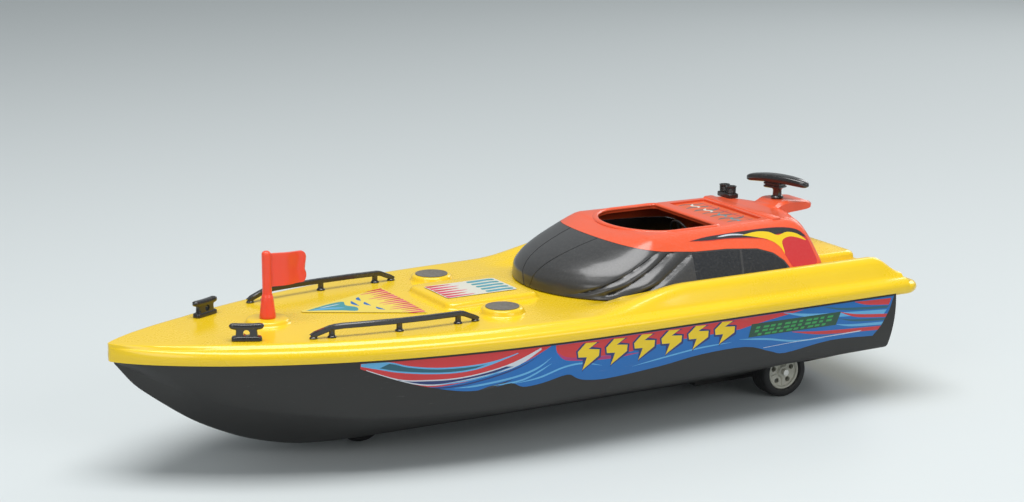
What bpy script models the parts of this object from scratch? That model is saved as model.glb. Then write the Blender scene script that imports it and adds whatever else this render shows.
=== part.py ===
"""Toy speedboat that runs on three wheels, driven by a friction flywheel inside the hull.

Every number is in millimetres and becomes metres when a node is made. +X is forward, +Y is port
and +Z is up. The origin is on the floor, under the middle of the boat.
"""

import math

import bmesh
import bpy
from mathutils import Matrix, Vector

MM = 0.001
GAP = 0.3

# Driving dimensions
HALF_LENGTH = 194.0
HALF_BEAM = 70.0
SHEER = 53.5
DECK = 61.7
SHOULDER = -44.0
TRANSOM = -179.0
KEEL_PAD = 5.4
PAD_HALF = 13.0
WALL = 1.8

WHEEL_R = 12.5
REAR_AXLE_X = -136.0
FRONT_AXLE_X = 75.5
REAR_WHEEL_Y = 33.3
WHEEL_HALF = 6.2

CABIN_BASE = 62.0
CABIN_REAR = -150.0
CABIN_WIDEST = -61.0
ROOF_TOP = 87.3

MODULE = 0.5
AXLE_TEETH = 28
PINION_TEETH = 10
IDLER_TEETH = 28


# ---------------------------------------------------------------- scene and materials

for old in list(bpy.data.objects):
    bpy.data.objects.remove(old)


def plastic(name, colour, roughness, metallic=0.0):
    """A Principled material with one colour."""
    material = bpy.data.materials.new(name)
    material.use_nodes = True
    shader = material.node_tree.nodes["Principled BSDF"]
    shader.inputs["Base Color"].default_value = (*colour, 1.0)
    shader.inputs["Roughness"].default_value = roughness
    shader.inputs["Metallic"].default_value = metallic
    return material


YELLOW = plastic("yellow_plastic", (0.91, 0.65, 0.0), 0.25)
BLACK_HULL = plastic("black_hull_plastic", (0.027, 0.026, 0.024), 0.45)
SMOKE = plastic("smoke_grey_plastic", (0.07, 0.07, 0.07), 0.25)
ORANGE = plastic("orange_plastic", (0.83, 0.11, 0.025), 0.3)
RED = plastic("red_plastic", (0.91, 0.07, 0.025), 0.35)
BLACK_TRIM = plastic("black_trim_plastic", (0.025, 0.021, 0.021), 0.35)
TYRE = plastic("black_tyre", (0.01, 0.01, 0.01), 0.6)
HUB = plastic("pale_hub_plastic", (0.58, 0.58, 0.5), 0.4)
STEEL = plastic("plated_steel", (0.6, 0.6, 0.6), 0.3, 1.0)
NYLON = plastic("white_nylon", (0.75, 0.74, 0.7), 0.5)
CASE = plastic("black_case_plastic", (0.03, 0.03, 0.03), 0.5)
GREY_LABEL = plastic("grey_label", (0.16, 0.14, 0.11), 0.5)
PRINT_LABEL = plastic("printed_label", (0.6, 0.45, 0.35), 0.4)


# ---------------------------------------------------------------- making solids

def solid(bm, name="solid"):
    """A scene object from a bmesh, with its faces turned outwards."""
    bmesh.ops.recalc_face_normals(bm, faces=bm.faces)
    mesh = bpy.data.meshes.new(name)
    bm.to_mesh(mesh)
    bm.free()
    item = bpy.data.objects.new(name, mesh)
    bpy.context.scene.collection.objects.link(item)
    return item


def boolean(target, tool, operation, keep_tool=False):
    """Joins, cuts or intersects target with tool, exactly, and applies the result."""
    modifier = target.modifiers.new("boolean", "BOOLEAN")
    modifier.operation = operation
    modifier.object = tool
    modifier.solver = "EXACT"
    graph = bpy.context.evaluated_depsgraph_get()
    made = bpy.data.meshes.new_from_object(target.evaluated_get(graph))
    target.modifiers.remove(modifier)
    target.data = made
    if not keep_tool:
        bpy.data.objects.remove(tool)
    return target


def union(target, *tools):
    for tool in tools:
        boolean(target, tool, "UNION")
    return target


def cut(target, *tools):
    for tool in tools:
        boolean(target, tool, "DIFFERENCE")
    return target


def node(name, item, material, axis_point=(0, 0, 0), flat_angle=30):
    """Turns a solid in millimetres into a named sub-part in metres, with its origin at axis_point."""
    origin = Vector(axis_point)
    item.name = name
    mesh = item.data
    mesh.name = name
    mesh.transform(Matrix.Scale(MM, 4) @ Matrix.Translation(-origin))
    item.location = origin * MM
    mesh.materials.clear()
    mesh.materials.append(material)
    mesh.shade_smooth()
    mesh.set_sharp_from_angle(angle=math.radians(flat_angle))
    return item


def twin(item, name):
    """A copy of a node on the other side of the centre plane."""
    mesh = item.data.copy()
    mesh.name = name
    mesh.transform(Matrix.Diagonal((1, -1, 1, 1)))
    mesh.flip_normals()
    copy = bpy.data.objects.new(name, mesh)
    copy.location = (item.location.x, -item.location.y, item.location.z)
    bpy.context.scene.collection.objects.link(copy)
    return copy


def loft(rings):
    """A closed solid through rings of equal point count, capped at both ends."""
    bm = bmesh.new()
    rows = [[bm.verts.new(point) for point in ring] for ring in rings]
    count = len(rows[0])
    for near, far in zip(rows, rows[1:]):
        for i in range(count):
            j = (i + 1) % count
            bm.faces.new((near[i], near[j], far[j], far[i]))
    bmesh.ops.connect_verts_nonplanar(bm, angle_limit=math.radians(0.001), faces=bm.faces)
    bm.faces.new(rows[0])
    bm.faces.new(rows[-1])
    return solid(bm)


def prism(outline, along, low, high):
    """An outline of (u, v) points swept along X, Y or Z. The points are the other two axes in order."""
    place = {
        "X": lambda u, v, w: (w, u, v),
        "Y": lambda u, v, w: (u, w, v),
        "Z": lambda u, v, w: (u, v, w),
    }[along]
    return loft([[place(u, v, w) for u, v in outline] for w in (low, high)])


def box(x0, x1, y0, y1, z0, z1):
    return prism([(x0, y0), (x1, y0), (x1, y1), (x0, y1)], "Z", z0, z1)


def circle(radius, count, centre=(0, 0)):
    """Points round a circle."""
    step = 2 * math.pi / count
    return [
        (centre[0] + radius * math.cos(i * step), centre[1] + radius * math.sin(i * step))
        for i in range(count)
    ]


def rod(along, centre, radius, low, high, count=16):
    """A cylinder along an axis. The centre is the other two coordinates in order."""
    return prism(circle(radius, count, centre), along, low, high)


def turned(profile, along, centre, count=32):
    """A ring turned round an axis from a closed profile of (radius, height) points."""
    bm = bmesh.new()
    rows = []
    for i in range(count):
        angle = 2 * math.pi * i / count
        row = []
        for radius, height in profile:
            u, v = radius * math.cos(angle), radius * math.sin(angle)
            offset = {"X": (height, u, v), "Y": (u, height, v), "Z": (u, v, height)}[along]
            row.append(bm.verts.new(Vector(centre) + Vector(offset)))
        rows.append(row)
    size = len(profile)
    for i in range(count):
        near, far = rows[i], rows[(i + 1) % count]
        for k in range(size):
            m = (k + 1) % size
            bm.faces.new((near[k], near[m], far[m], far[k]))
    return solid(bm)


def spindle(profile, centre, count=24):
    """A solid turned round +Z. Each (radius, height) is one ring, and both ends are capped."""
    return loft([
        [(centre[0] + x, centre[1] + y, centre[2] + height) for x, y in circle(radius, count)]
        for radius, height in profile
    ])


def smooth_step(value):
    value = max(0.0, min(1.0, value))
    return value * value * (3 - 2 * value)


def along_profile(points, position):
    """Linear reading of a list of (position, value) points."""
    for (p0, v0), (p1, v1) in zip(points, points[1:]):
        if position <= p1:
            share = max(0.0, (position - p0) / (p1 - p0))
            return v0 + (v1 - v0) * share
    return points[-1][1]


def rounded_rectangle(x0, x1, y0, y1, radius, steps=4):
    """A rectangle with round corners, as (x, y) points."""
    corners = [(x1 - radius, y1 - radius), (x0 + radius, y1 - radius),
               (x0 + radius, y0 + radius), (x1 - radius, y0 + radius)]
    points = []
    for quarter, (cx, cy) in enumerate(corners):
        for i in range(steps + 1):
            angle = math.pi / 2 * (quarter + i / steps)
            points.append((cx + radius * math.cos(angle), cy + radius * math.sin(angle)))
    return points


# ---------------------------------------------------------------- plan of the boat

def half_beam(x):
    """Half width of the boat at its sheer line."""
    if x <= SHOULDER:
        return HALF_BEAM
    share = min(1.0, (x - SHOULDER) / (HALF_LENGTH - SHOULDER))
    return HALF_BEAM * (1 - share ** 2.5) ** 0.79


BOW_STATIONS = [-44, -6, 28, 60, 88, 110, 130, 146, 160, 171, 179, 185, 189]


# ---------------------------------------------------------------- hull

KEEL_LINE = [(-179, 10), (-160, 8.5), (-146, KEEL_PAD), (90, KEEL_PAD), (107, 6.0), (118, 7.6),
             (127, 9.6), (135, 12), (142, 14.8), (149, 18), (156.5, 22), (163.5, 26.6),
             (170, 31.4), (177, 36.8), (182, 41), (186, 45.5), (189, 49.5), (191.5, 52.5)]
PAD_LINE = [(-179, PAD_HALF), (70, PAD_HALF), (110, 10), (140, 5), (165, 1.5), (191.5, 0.3)]
CHINE_LINE = [(-179, 63), (10, 63), (40, 60.5), (60, 57.5), (91, 51), (120, 38), (136, 30),
              (150, 22.5), (162, 15), (172, 9), (180, 5), (186, 2.5), (191.5, 0.6)]
CHINE_HEIGHT = [(-179, 25.5), (40, 24.5), (91, 25.9), (120, 28.4), (136, 30.4), (150, 33.4),
                (162, 37.6), (172, 42.6), (180, 46.8), (186, 50.2), (191.5, 53)]


def hull_section(x, inset, top):
    """One closed section of the hull, drawn in by inset, up to height top."""
    keel = along_profile(KEEL_LINE, x) + inset
    pad = max(0.2, along_profile(PAD_LINE, x) - 0.2 * inset)
    chine = max(0.4, along_profile(CHINE_LINE, x) - inset)
    chine_height = max(along_profile(CHINE_HEIGHT, x) + 0.8 * inset, keel + 0.2)
    rim = max(0.6, half_beam(x) - 1.2 - inset)
    middle = (0.62 * rim + 0.38 * chine + 0.02 * rim, 0.5 * (chine_height + SHEER))
    half = [(rim, top), (rim, SHEER), middle, (chine, chine_height), (pad, keel)]
    if top <= SHEER:
        half = half[1:]
    return [(x, y, z) for y, z in half] + [(x, -y, z) for y, z in reversed(half)]


hull_stations = [-160, -146] + BOW_STATIONS
hull = loft([hull_section(x, 0, SHEER) for x in [TRANSOM] + hull_stations + [191]])
hollow = loft([hull_section(x, WALL, SHEER + 6) for x in [TRANSOM + WALL] + hull_stations[:-1] + [186]])

# What stands up inside the hull is left out of its hollow: the rear wheel arches, the front wheel
# slot with its bearing block, the screw posts that meet the deck's posts, and the gearbox's posts
ARCH_X = 16.0
ARCH_IN, ARCH_OUT, ARCH_TOP = 24.5, 59.5, 27.5
SLOT_X, SLOT_Y, SLOT_TOP = 15.0, 5.6, 28.0
SKIN = 1.5
SCREWS = [(150.0, 0.0), (0.0, 42.0), (0.0, -42.0), (-165.5, 31.0), (-165.5, -31.0)]
POST_R, POST_TOP = 3.6, 36.0
CASE_X0, CASE_X1 = -147.0, -101.0
CASE_Y = 12.6
CASE_Z0, CASE_Z1 = 3.6, 34.0
CASE_SCREWS = [(CASE_X1 + 4.2, 3.9), (CASE_X1 + 4.2, -3.9)]
CASE_POST_R, CASE_POST_TOP = 2.7, 11.9
arch_x0, arch_x1 = REAR_AXLE_X - ARCH_X, REAR_AXLE_X + ARCH_X
slot_x0, slot_x1 = FRONT_AXLE_X - SLOT_X, FRONT_AXLE_X + SLOT_X
cut(
    hollow,
    box(arch_x0 - SKIN, arch_x1 + SKIN, ARCH_IN - SKIN, ARCH_OUT + SKIN, 0, ARCH_TOP + SKIN),
    box(arch_x0 - SKIN, arch_x1 + SKIN, -ARCH_OUT - SKIN, -ARCH_IN + SKIN, 0, ARCH_TOP + SKIN),
    box(slot_x0 - SKIN, slot_x1 + SKIN, -SLOT_Y - SKIN, SLOT_Y + SKIN, 0, SLOT_TOP + SKIN),
    box(FRONT_AXLE_X - 4, FRONT_AXLE_X + 4, -11, 11, 0, WHEEL_R + 4),
    *[rod("Z", place, POST_R, 0, POST_TOP, 12) for place in SCREWS],
    *[rod("Z", place, CASE_POST_R, 0, CASE_POST_TOP, 12) for place in CASE_SCREWS],
)
cut(hull, hollow)

cut(
    hull,
    box(arch_x0, arch_x1, ARCH_IN, ARCH_OUT, -5, ARCH_TOP),
    box(arch_x0, arch_x1, -ARCH_OUT, -ARCH_IN, -5, ARCH_TOP),
    box(slot_x0, slot_x1, -SLOT_Y, SLOT_Y, -5, SLOT_TOP),
    rod("Y", (FRONT_AXLE_X, WHEEL_R), 1.6, -9.5, 9.5),
    rod("Y", (REAR_AXLE_X, WHEEL_R), 2.0, -35, 35),
    box(CASE_X0 - GAP, CASE_X1 + GAP, -CASE_Y - GAP, CASE_Y + GAP, -5, 20),
    *[rod("Z", place, 1.2, 7.2, 20, 12) for place in CASE_SCREWS],
)
SCREW_HEAD_R, SCREW_SHANK_R = 2.6, 1.3
SCREW_SEAT = 20.0
for place in SCREWS:
    seat = SCREW_SEAT if abs(place[1]) > 1 else SCREW_SEAT + 9
    cut(hull, rod("Z", place, SCREW_HEAD_R + 0.4, -5, seat), rod("Z", place, SCREW_SHANK_R + 0.3, 0, 60, 12))
node("hull_shell", hull, BLACK_HULL)


# ---------------------------------------------------------------- deck moulding

RIDGE_FADE = (-66.0, -12.0)
STERN_FADE = (-188.0, -172.0)
PLATFORM_END = -198.0


def deck_section(x, inset):
    """One closed section of the deck moulding. inset is 0 outside and the wall thickness inside."""
    beam = half_beam(x)
    narrow = min(1.0, beam / 34.0)
    ridge = 1 - smooth_step((x - RIDGE_FADE[0]) / (RIDGE_FADE[1] - RIDGE_FADE[0]))
    ridge *= smooth_step((x - STERN_FADE[0]) / (STERN_FADE[1] - STERN_FADE[0]))
    if inset:
        edge = [(0, SHEER - 3), (0, 56.5), (-1.2, 58.3), (-4.0, 58.6)]
        inner = [(-9.5, DECK - WALL, 67.3), (-11.2, DECK - WALL, 67.9), (-12.7, DECK - WALL, 66.4),
                 (-13.5, DECK - WALL - 0.1, DECK - WALL - 0.1), (-18, DECK - WALL, DECK - WALL)]
    else:
        edge = [(0, SHEER + GAP), (0.3, 56.5), (-0.9, 59.2), (-3.2, 60.3)]
        inner = [(-8.5, DECK, 68.8), (-12.0, DECK, 70.2), (-15.5, DECK, 69.6), (-19, DECK, 67.6),
                 (-24, DECK, 67.2)]
    half = [(beam + narrow * dy - inset * narrow, z) for dy, z in edge]
    for dy, flat, high in inner:
        half.append((beam + narrow * dy - inset * narrow, flat + (high - flat) * ridge))
    half.append((half[-1][0] - 2.5 * narrow, half[-1][1] if inset or x < CABIN_REAR else DECK))
    return [(x, y, z) for y, z in half] + [(x, -y, z) for y, z in reversed(half)]


deck_stations = [-184, -179.5, -175, -171, -168, -66, -58, -50, -42, -34, -26, -18, -10, -4] + BOW_STATIONS[2:] + [192]
bow_tip = [(HALF_LENGTH, 0.35 * y, z) for x, y, z in deck_section(192, 0)]
deck = loft([deck_section(x, 0) for x in deck_stations] + [bow_tip])

# Swim platform across the stern
platform = loft([
    [(x, y, z) for x, y in rounded_rectangle(PLATFORM_END + draw, -158, -67 + draw, 67 - draw, 12)]
    for draw, z in ((1.6, 51.4), (0.3, 52.6), (0.0, 54), (0.3, 55.4), (1.8, 56.6))
])
cut(platform, box(TRANSOM - GAP, -150, -80, 80, 40, SHEER + GAP + 0.2))
# Engine cover behind the cabin
engine_cover = loft([
    [(x, y, z) for x, y in rounded_rectangle(-176 + draw, -146, -40.5 + draw, 40.5 - draw, 3)]
    for draw, z in ((0.0, 60), (0.3, 68.2), (1.3, 69.3))
])
# Raised hatch, round bosses and the flag's pad on the foredeck
hatch = loft([
    [(x, y, z) for x, y in rounded_rectangle(-8.5 + draw, 39.5 - draw, -21.5 + draw, 21.5 - draw, 4)]
    for draw, z in ((0.0, 60.8), (0.6, 63.4), (1.9, 64.7))
])
BOSS = (19.5, 35.5)
BOSS_TOP = 64.5
bosses = [spindle(((10.2, -3.5), (9.5, -0.6), (8.9, 0)), (BOSS[0], side * BOSS[1], BOSS_TOP)) for side in (1, -1)]
FLAG_X = 119.3
PAD_TOP = 63.7
flag_pad = spindle(((10, -2.8), (9.4, -0.6), (8.8, 0)), (FLAG_X, 0, PAD_TOP))
union(deck, platform, engine_cover)

deck_inside = loft([deck_section(x, WALL) for x in [TRANSOM + 3] + deck_stations[2:-3]])
cut(deck, deck_inside)
union(deck, hatch, *bosses, flag_pad)


# ---------------------------------------------------------------- cabin outlines

CABIN_RINGS = [
    # height, front tip, half width, rear corners, how far the rear edge bows aft of them
    (CABIN_BASE, -13.0, 52.3, CABIN_REAR - 2.5, 1.5),
    (67.5, -13.4, 50.9, CABIN_REAR - 2.3, 2.0),
    (72.0, -16.0, 47.7, CABIN_REAR - 1.8, 2.5),
    (77.0, -23.0, 43.6, CABIN_REAR - 1.2, 3.5),
    (81.5, -33.5, 39.8, CABIN_REAR - 0.2, 5.0),
    (84.6, -43.0, 37.0, CABIN_REAR + 1.2, 6.5),
    (86.5, -51.0, 34.6, CABIN_REAR + 3.0, 7.5),
    (ROOF_TOP, -57.0, 32.5, CABIN_REAR + 5.5, 9.0),
]
CABIN_CORNER = 6.0
CABIN_WAIST = -100.0


def cabin_outline(front, half_width, rear, bow, grow=0.0):
    """Plan outline of the cabin: half an ellipse forward, straight sides, a bowed rear edge."""
    front, half_width, rear = front + grow, half_width + grow, rear - grow
    points = []
    for i in range(17):
        angle = math.pi * (i / 16 - 0.5)
        points.append((CABIN_WIDEST + (front - CABIN_WIDEST) * math.cos(angle), half_width * math.sin(angle)))
    rear_half = half_width - 3.0
    aft = [(CABIN_WAIST, half_width - 1.0)]
    for i in range(4):
        angle = math.pi / 2 * (1 + i / 3)
        aft.append((rear + CABIN_CORNER * (1 + math.cos(angle)), rear_half - CABIN_CORNER * (1 - math.sin(angle))))
    aft.append((rear - 0.75 * bow, 0.4 * rear_half))
    return points + aft + [(rear - bow, 0.0)] + [(x, -y) for x, y in reversed(aft)]


def cabin_solid(inset, bottom):
    """The cabin's outer form, or its hollow when inset is the wall thickness."""
    rings = []
    for height, *plan in CABIN_RINGS:
        z = bottom if height == CABIN_BASE else height - inset * smooth_step((height - 68) / 19)
        rings.append([(x, y, z) for x, y in cabin_outline(*plan, -inset)])
    return loft(rings)


# The cabin stands in a shallow pocket of the deck, over an opening for the cockpit tub
WELL_X0, WELL_X1, WELL_Y = -136.0, -44.0, 40.0
pocket = prism(cabin_outline(*CABIN_RINGS[0][1:], grow=0.5), "Z", DECK, 80)
opening = prism(rounded_rectangle(WELL_X0, WELL_X1, -WELL_Y, WELL_Y, 6), "Z", 50, 70)
cut(deck, pocket, opening)
for place in SCREWS:
    deck_post = rod("Z", place, POST_R, POST_TOP + GAP, 60.8, 12)
    union(deck, deck_post)
    cut(deck, rod("Z", place, SCREW_SHANK_R + 0.3, POST_TOP - 1, POST_TOP + 14, 12))
# The flag's spigot hole
FLAG_SPIGOT_R = 2.0
cut(deck, rod("Z", (FLAG_X, 0), FLAG_SPIGOT_R + 0.2, 50, 70))
node("deck_shell", deck, YELLOW)


# ---------------------------------------------------------------- canopy and roof

# The joint between the smoked canopy and the orange roof, seen from the side
JOINT = [(-43.5, 84.9), (-50, 83.7), (-63, 81.4), (-81, 79.6), (-99, 79.0), (-116, 77.4), (-124, 74.8),
         (-128.5, 71.2), (-131, 66.5), (-131.8, 61)]
above_joint = prism(JOINT + [(-170, 61), (-170, 110), (-43.5, 110)], "Y", -80, 80)
below_joint = prism([(x + 0.1, z - GAP) for x, z in JOINT] + [(-131.8, 40), (20, 40), (20, 110), (-43.0, 110)],
                    "Y", -80, 80)
roof = cut(cabin_solid(0, CABIN_BASE + GAP), cabin_solid(1.8, CABIN_BASE - 4))
canopy = roof.copy()
canopy.data = roof.data.copy()
bpy.context.scene.collection.objects.link(canopy)
boolean(canopy, below_joint, "INTERSECT")
node("canopy", canopy, SMOKE)
boolean(roof, above_joint, "INTERSECT")

HATCHWAY_REAR, HATCHWAY_SIDE, HATCHWAY_FRONT = -102.0, 27.8, -57.5


def hatchway_outline(grow):
    """The roof opening: square aft, round forward."""
    points = [(HATCHWAY_REAR - grow, -HATCHWAY_SIDE - grow)]
    for i in range(13):
        angle = math.pi * (i / 12 - 0.5)
        points.append((-78 + (HATCHWAY_FRONT + 78 + grow) * math.cos(angle),
                       (HATCHWAY_SIDE + grow) * math.sin(angle)))
    points.append((HATCHWAY_REAR - grow, HATCHWAY_SIDE + grow))
    return points


rim = prism(hatchway_outline(1.8), "Z", 85.9, 87.9)
ridge = loft([
    [(x, y, z) for x, y in rounded_rectangle(-138 + draw, -132 - draw, -30 + draw, 30 - draw, 2)]
    for draw, z in ((0, 85.9), (0, 87.8), (0.9, 88.4))
])
PYLON_SIDE = [(-135, 85.8), (-138.5, 86.6), (-144, 87.2), (-149, 88.2), (-153, 90.2), (-158, 90.2),
              (-168, 89.4), (-171.5, 88.0), (-171.8, 86.4), (-170, 85.2), (-157, 83.8), (-152, 80.5),
              (-149, 79), (-146, 84), (-135, 84.2)]
pylon = prism(PYLON_SIDE, "Y", -9.5, 9.5)
union(roof, rim, ridge, pylon)
cut(roof, prism(hatchway_outline(0), "Z", 70, 100))
# The recess for the printed roof panel
PANEL = (-129.8, -108.8, -25.5, 25.5)
cut(roof, prism([(PANEL[0], PANEL[2]), (PANEL[1], PANEL[2]), (PANEL[1], PANEL[3]), (PANEL[0], PANEL[3])], "Z",
                86.5, 95))
# The radar's post hole
RADAR_X = -156.5
RADAR_PIN_R = 1.5
RADAR_FLOOR = 90.2
cut(roof, rod("Z", (RADAR_X, 0), RADAR_PIN_R + 0.08, 86.6, 95, 16))
node("cabin_roof", roof, ORANGE)


# ---------------------------------------------------------------- cockpit tub and steering wheel

tub = union(
    prism(rounded_rectangle(WELL_X0 + 0.4, WELL_X1 - 0.4, -WELL_Y + 0.4, WELL_Y - 0.4, 5.6), "Z", 50, 63.2),
    prism(rounded_rectangle(WELL_X0 - 3, WELL_X1 + 3, -WELL_Y - 3, WELL_Y + 3, 8), "Z", DECK + GAP, 63.2),
)
cut(tub, prism(rounded_rectangle(WELL_X0 + 2, WELL_X1 - 2, -WELL_Y + 2, WELL_Y - 2, 4), "Z", 51.5, 80))
bench = prism([(-134.5, 51), (-122, 51), (-122, 60), (-130, 60), (-132, 70), (-134.5, 70)], "Y", -34, 34)
dash = prism([(-101, 51), (-89, 51), (-92, 70), (-99, 73), (-104, 71.5)], "Y", -24, 8)
union(tub, bench, dash)
WHEEL_HUB = Vector((-106.0, -8.0, 74.0))
LEAN = math.radians(68)
wheel_axis = Vector((-math.sin(LEAN), 0, math.cos(LEAN)))
wheel_turn = wheel_axis.to_track_quat("Z", "Y").to_matrix().to_4x4()


def on_column(item):
    """Places a shape made round +Z on the steering column."""
    item.data.transform(Matrix.Translation(WHEEL_HUB) @ wheel_turn)
    return item


column_hole = on_column(rod("Z", (0, 0), 0.95, -9.5, 1, 16))
cut(tub, column_hole)
node("cockpit_tub", tub, BLACK_TRIM)

steering = on_column(turned([(8.6, 0.0), (8.9, -0.8), (9.7, -0.8), (10.0, 0.0), (9.7, 0.8), (8.9, 0.8)], "Z",
                            (0, 0, 0), 18))
wheel_hub = on_column(spindle(((2.2, -1.4), (2.4, 0.4), (1.6, 1.1)), (0, 0, 0), 12))
union(steering, wheel_hub)
for i in range(3):
    spoke = box(1.5, 9.0, -0.8, 0.8, -0.7, 0.4)
    spoke.data.transform(Matrix.Rotation(math.radians(90 + 120 * i), 4, "Z"))
    union(steering, on_column(spoke))
union(steering, on_column(rod("Z", (0, 0), 0.8, -7.5, -1, 12)))
node("steering_wheel", steering, BLACK_TRIM, WHEEL_HUB)


# ---------------------------------------------------------------- radar and horn

BAR_TURN = math.radians(22)
BAR_HALF = 18.2
bar_rings = []
for i in range(9):
    share = i / 8 * 2 - 1
    y = BAR_HALF * share
    half = 3.7 - 1.5 * abs(share) ** 3
    top = 103.0 - 2.0 * share * share
    under = 98.2 - 1.1 * share * share
    bar_rings.append([(-half, y, under + 0.9), (-half + 0.8, y, under), (half - 0.8, y, under),
                      (half, y, under + 0.9), (half, y, top - 1.0), (half - 1.6, y, top), (-half + 1.6, y, top),
                      (-half, y, top - 1.0)])
radar = loft(bar_rings)
union(
    radar,
    box(-3.4, 3.4, -6.5, 3.8, 95.6, 99.6),
    spindle(((2.3, RADAR_FLOOR + GAP), (2.1, 96.2)), (0, 0, 0), 16),
    rod("Z", (0, 0), RADAR_PIN_R, 87.2, RADAR_FLOOR + 1, 16),
)
radar.data.transform(Matrix.Translation((RADAR_X, 0, 0)) @ Matrix.Rotation(BAR_TURN, 4, "Z"))
node("radar_scanner", radar, BLACK_TRIM, (RADAR_X, 0, RADAR_FLOOR))

HORN = (-144.2, -25.5)
horn_base = ROOF_TOP + GAP
horn = prism(rounded_rectangle(-2.9, 2.9, -5.6, 5.6, 1.5, 3), "Z", horn_base, horn_base + 2.4)
for side in (-2.9, 2.9):
    union(horn, spindle(((2.6, 1.5), (2.75, 4.6), (2.3, 6.0)), (0, side, horn_base), 14))
horn.data.transform(Matrix.Translation((*HORN, 0)))
node("twin_horn", horn, BLACK_TRIM)


# ---------------------------------------------------------------- flag

POLE_TOP = 94.3
flag = spindle(((3.7, PAD_TOP + GAP), (3.2, 70.5), (2.7, 73.6), (2.3, 74.4), (2.2, 92.4), (1.7, 93.8),
                (0.8, POLE_TOP)), (FLAG_X, 0, 0), 14)
wave = [(FLAG_X - 18.6 - 0.9 * math.sin(i / 8 * 2 * math.pi + 0.6), 79.2 + 14.0 * i / 8) for i in range(9)]
plate = prism([(FLAG_X, 77.8), (FLAG_X - 10, 78.6)] + wave + [(FLAG_X - 10, 93.0), (FLAG_X, 92.2)], "Y", -0.8, 0.8)
union(flag, plate, rod("Z", (FLAG_X, 0), FLAG_SPIGOT_R, 60.5, 66, 14))
node("flag", flag, RED)


# ---------------------------------------------------------------- cleats and hand rails

CLEAT = (139.5, 24.6)
CLEAT_TOE = math.radians(-27)
cleat = union(
    prism(rounded_rectangle(-6.6, 6.6, -2.0, 2.0, 1.2, 2), "Z", DECK + GAP, DECK + 2.1),
    box(-4.6, 4.6, -1.3, 1.3, DECK + 1.5, DECK + 6.5),
    prism(rounded_rectangle(-7.6, 7.6, -1.7, 1.7, 1.5, 3), "Z", DECK + 5.2, DECK + 8.0),
)
cut(cleat, rod("Y", (0, DECK + 3.7), 1.5, -5, 5, 12))
cleat.data.transform(Matrix.Translation((*CLEAT, 0)) @ Matrix.Rotation(CLEAT_TOE, 4, "Z"))
node("cleat_port", cleat, BLACK_TRIM)
twin(cleat, "cleat_starboard")

RAIL_TOP = 66.6
RAIL_FOOT = DECK + GAP + 0.95
RAIL = [(114.0, 35.6, RAIL_FOOT), (112.4, 35.9, RAIL_FOOT + 0.6), (105.0, 37.4, RAIL_TOP - 0.5),
        (100.0, 38.3, RAIL_TOP - 0.1), (74.6, 42.0, RAIL_TOP - 0.3), (44.5, 43.0, RAIL_TOP - 0.5),
        (38.0, 43.1, RAIL_FOOT + 0.8), (36.2, 43.1, RAIL_FOOT)]
rail_rings = []
for i, (x, y, z) in enumerate(RAIL):
    before, after = RAIL[max(0, i - 1)], RAIL[min(len(RAIL) - 1, i + 1)]
    across = Vector((before[1] - after[1], after[0] - before[0], 0)).normalized() * 1.1
    rail_rings.append([(x + u * across.x, y + u * across.y, z + 0.95 * v)
                       for u, v in ((1, -1), (1, 1), (-1, 1), (-1, -1))])
rail = loft(rail_rings)
for x, y in ((105.0, 37.4), (74.6, 42.0), (46.0, 42.95)):
    union(rail, box(x - 1.4, x + 1.4, y - 0.9, y + 0.9, DECK + GAP, RAIL_TOP - 1.0))
node("rail_port", rail, BLACK_TRIM)
twin(rail, "rail_starboard")


# ---------------------------------------------------------------- printed labels

LABEL_GAP, LABEL_THICK = 0.12, 0.25


def label(name, outline, surface, material):
    """A thin printed sticker lying on a flat surface."""
    item = prism(outline, "Z", surface + LABEL_GAP, surface + LABEL_GAP + LABEL_THICK)
    return node(name, item, material)


disc = label("boss_disc_port", circle(7.8, 32, BOSS), BOSS_TOP, GREY_LABEL)
twin(disc, "boss_disc_starboard")
label("hatch_label", rounded_rectangle(-1.5, 35.5, -12.5, 12.5, 1), 64.7, PRINT_LABEL)
label("foredeck_label", [(99.5, -10.0), (99.5, -7.0), (49.8, 21.0), (47.8, -32.0)], DECK, PRINT_LABEL)
label("roof_label", rounded_rectangle(PANEL[0] + 0.4, PANEL[1] - 0.4, PANEL[2] + 0.4, PANEL[3] - 0.4, 0.6), 86.5,
      PRINT_LABEL)


# ---------------------------------------------------------------- wheels and axles

AXLE_R = 1.5
HUB_R = 8.7


def tyre(name, x, y, half_width):
    """A plain tyre with bevelled shoulders."""
    profile = [(HUB_R + 0.15, -half_width), (11.4, -half_width), (WHEEL_R, -half_width + 1.3),
               (WHEEL_R, half_width - 1.3), (11.4, half_width), (HUB_R + 0.15, half_width)]
    centre = (x, y, WHEEL_R)
    node(name, turned(profile, "Y", centre, 28), TYRE, centre)


def hub(name, x, y, half_width, outward):
    """A dished wheel hub with five round holes. outward is 1 where its face is to port, or -1."""
    face = (half_width - 0.6) * outward
    web = face - 2.4 * outward
    profile = [(AXLE_R + 0.12, -face), (3.4, -face), (3.4, web), (HUB_R - 1.2, web), (HUB_R - 1.2, -face),
               (HUB_R, -face), (HUB_R, face), (HUB_R - 1.4, face - 0.7 * outward),
               (3.0, face - 0.7 * outward), (AXLE_R + 0.12, face)]
    centre = (x, y, WHEEL_R)
    item = turned(profile, "Y", centre, 20)
    for i in range(5):
        angle = math.radians(90 + 72 * i)
        spot = (x + 5.4 * math.cos(angle), WHEEL_R + 5.4 * math.sin(angle))
        cut(item, rod("Y", spot, 1.3, y - half_width, y + half_width, 8))
    node(name, item, HUB, centre)


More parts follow.
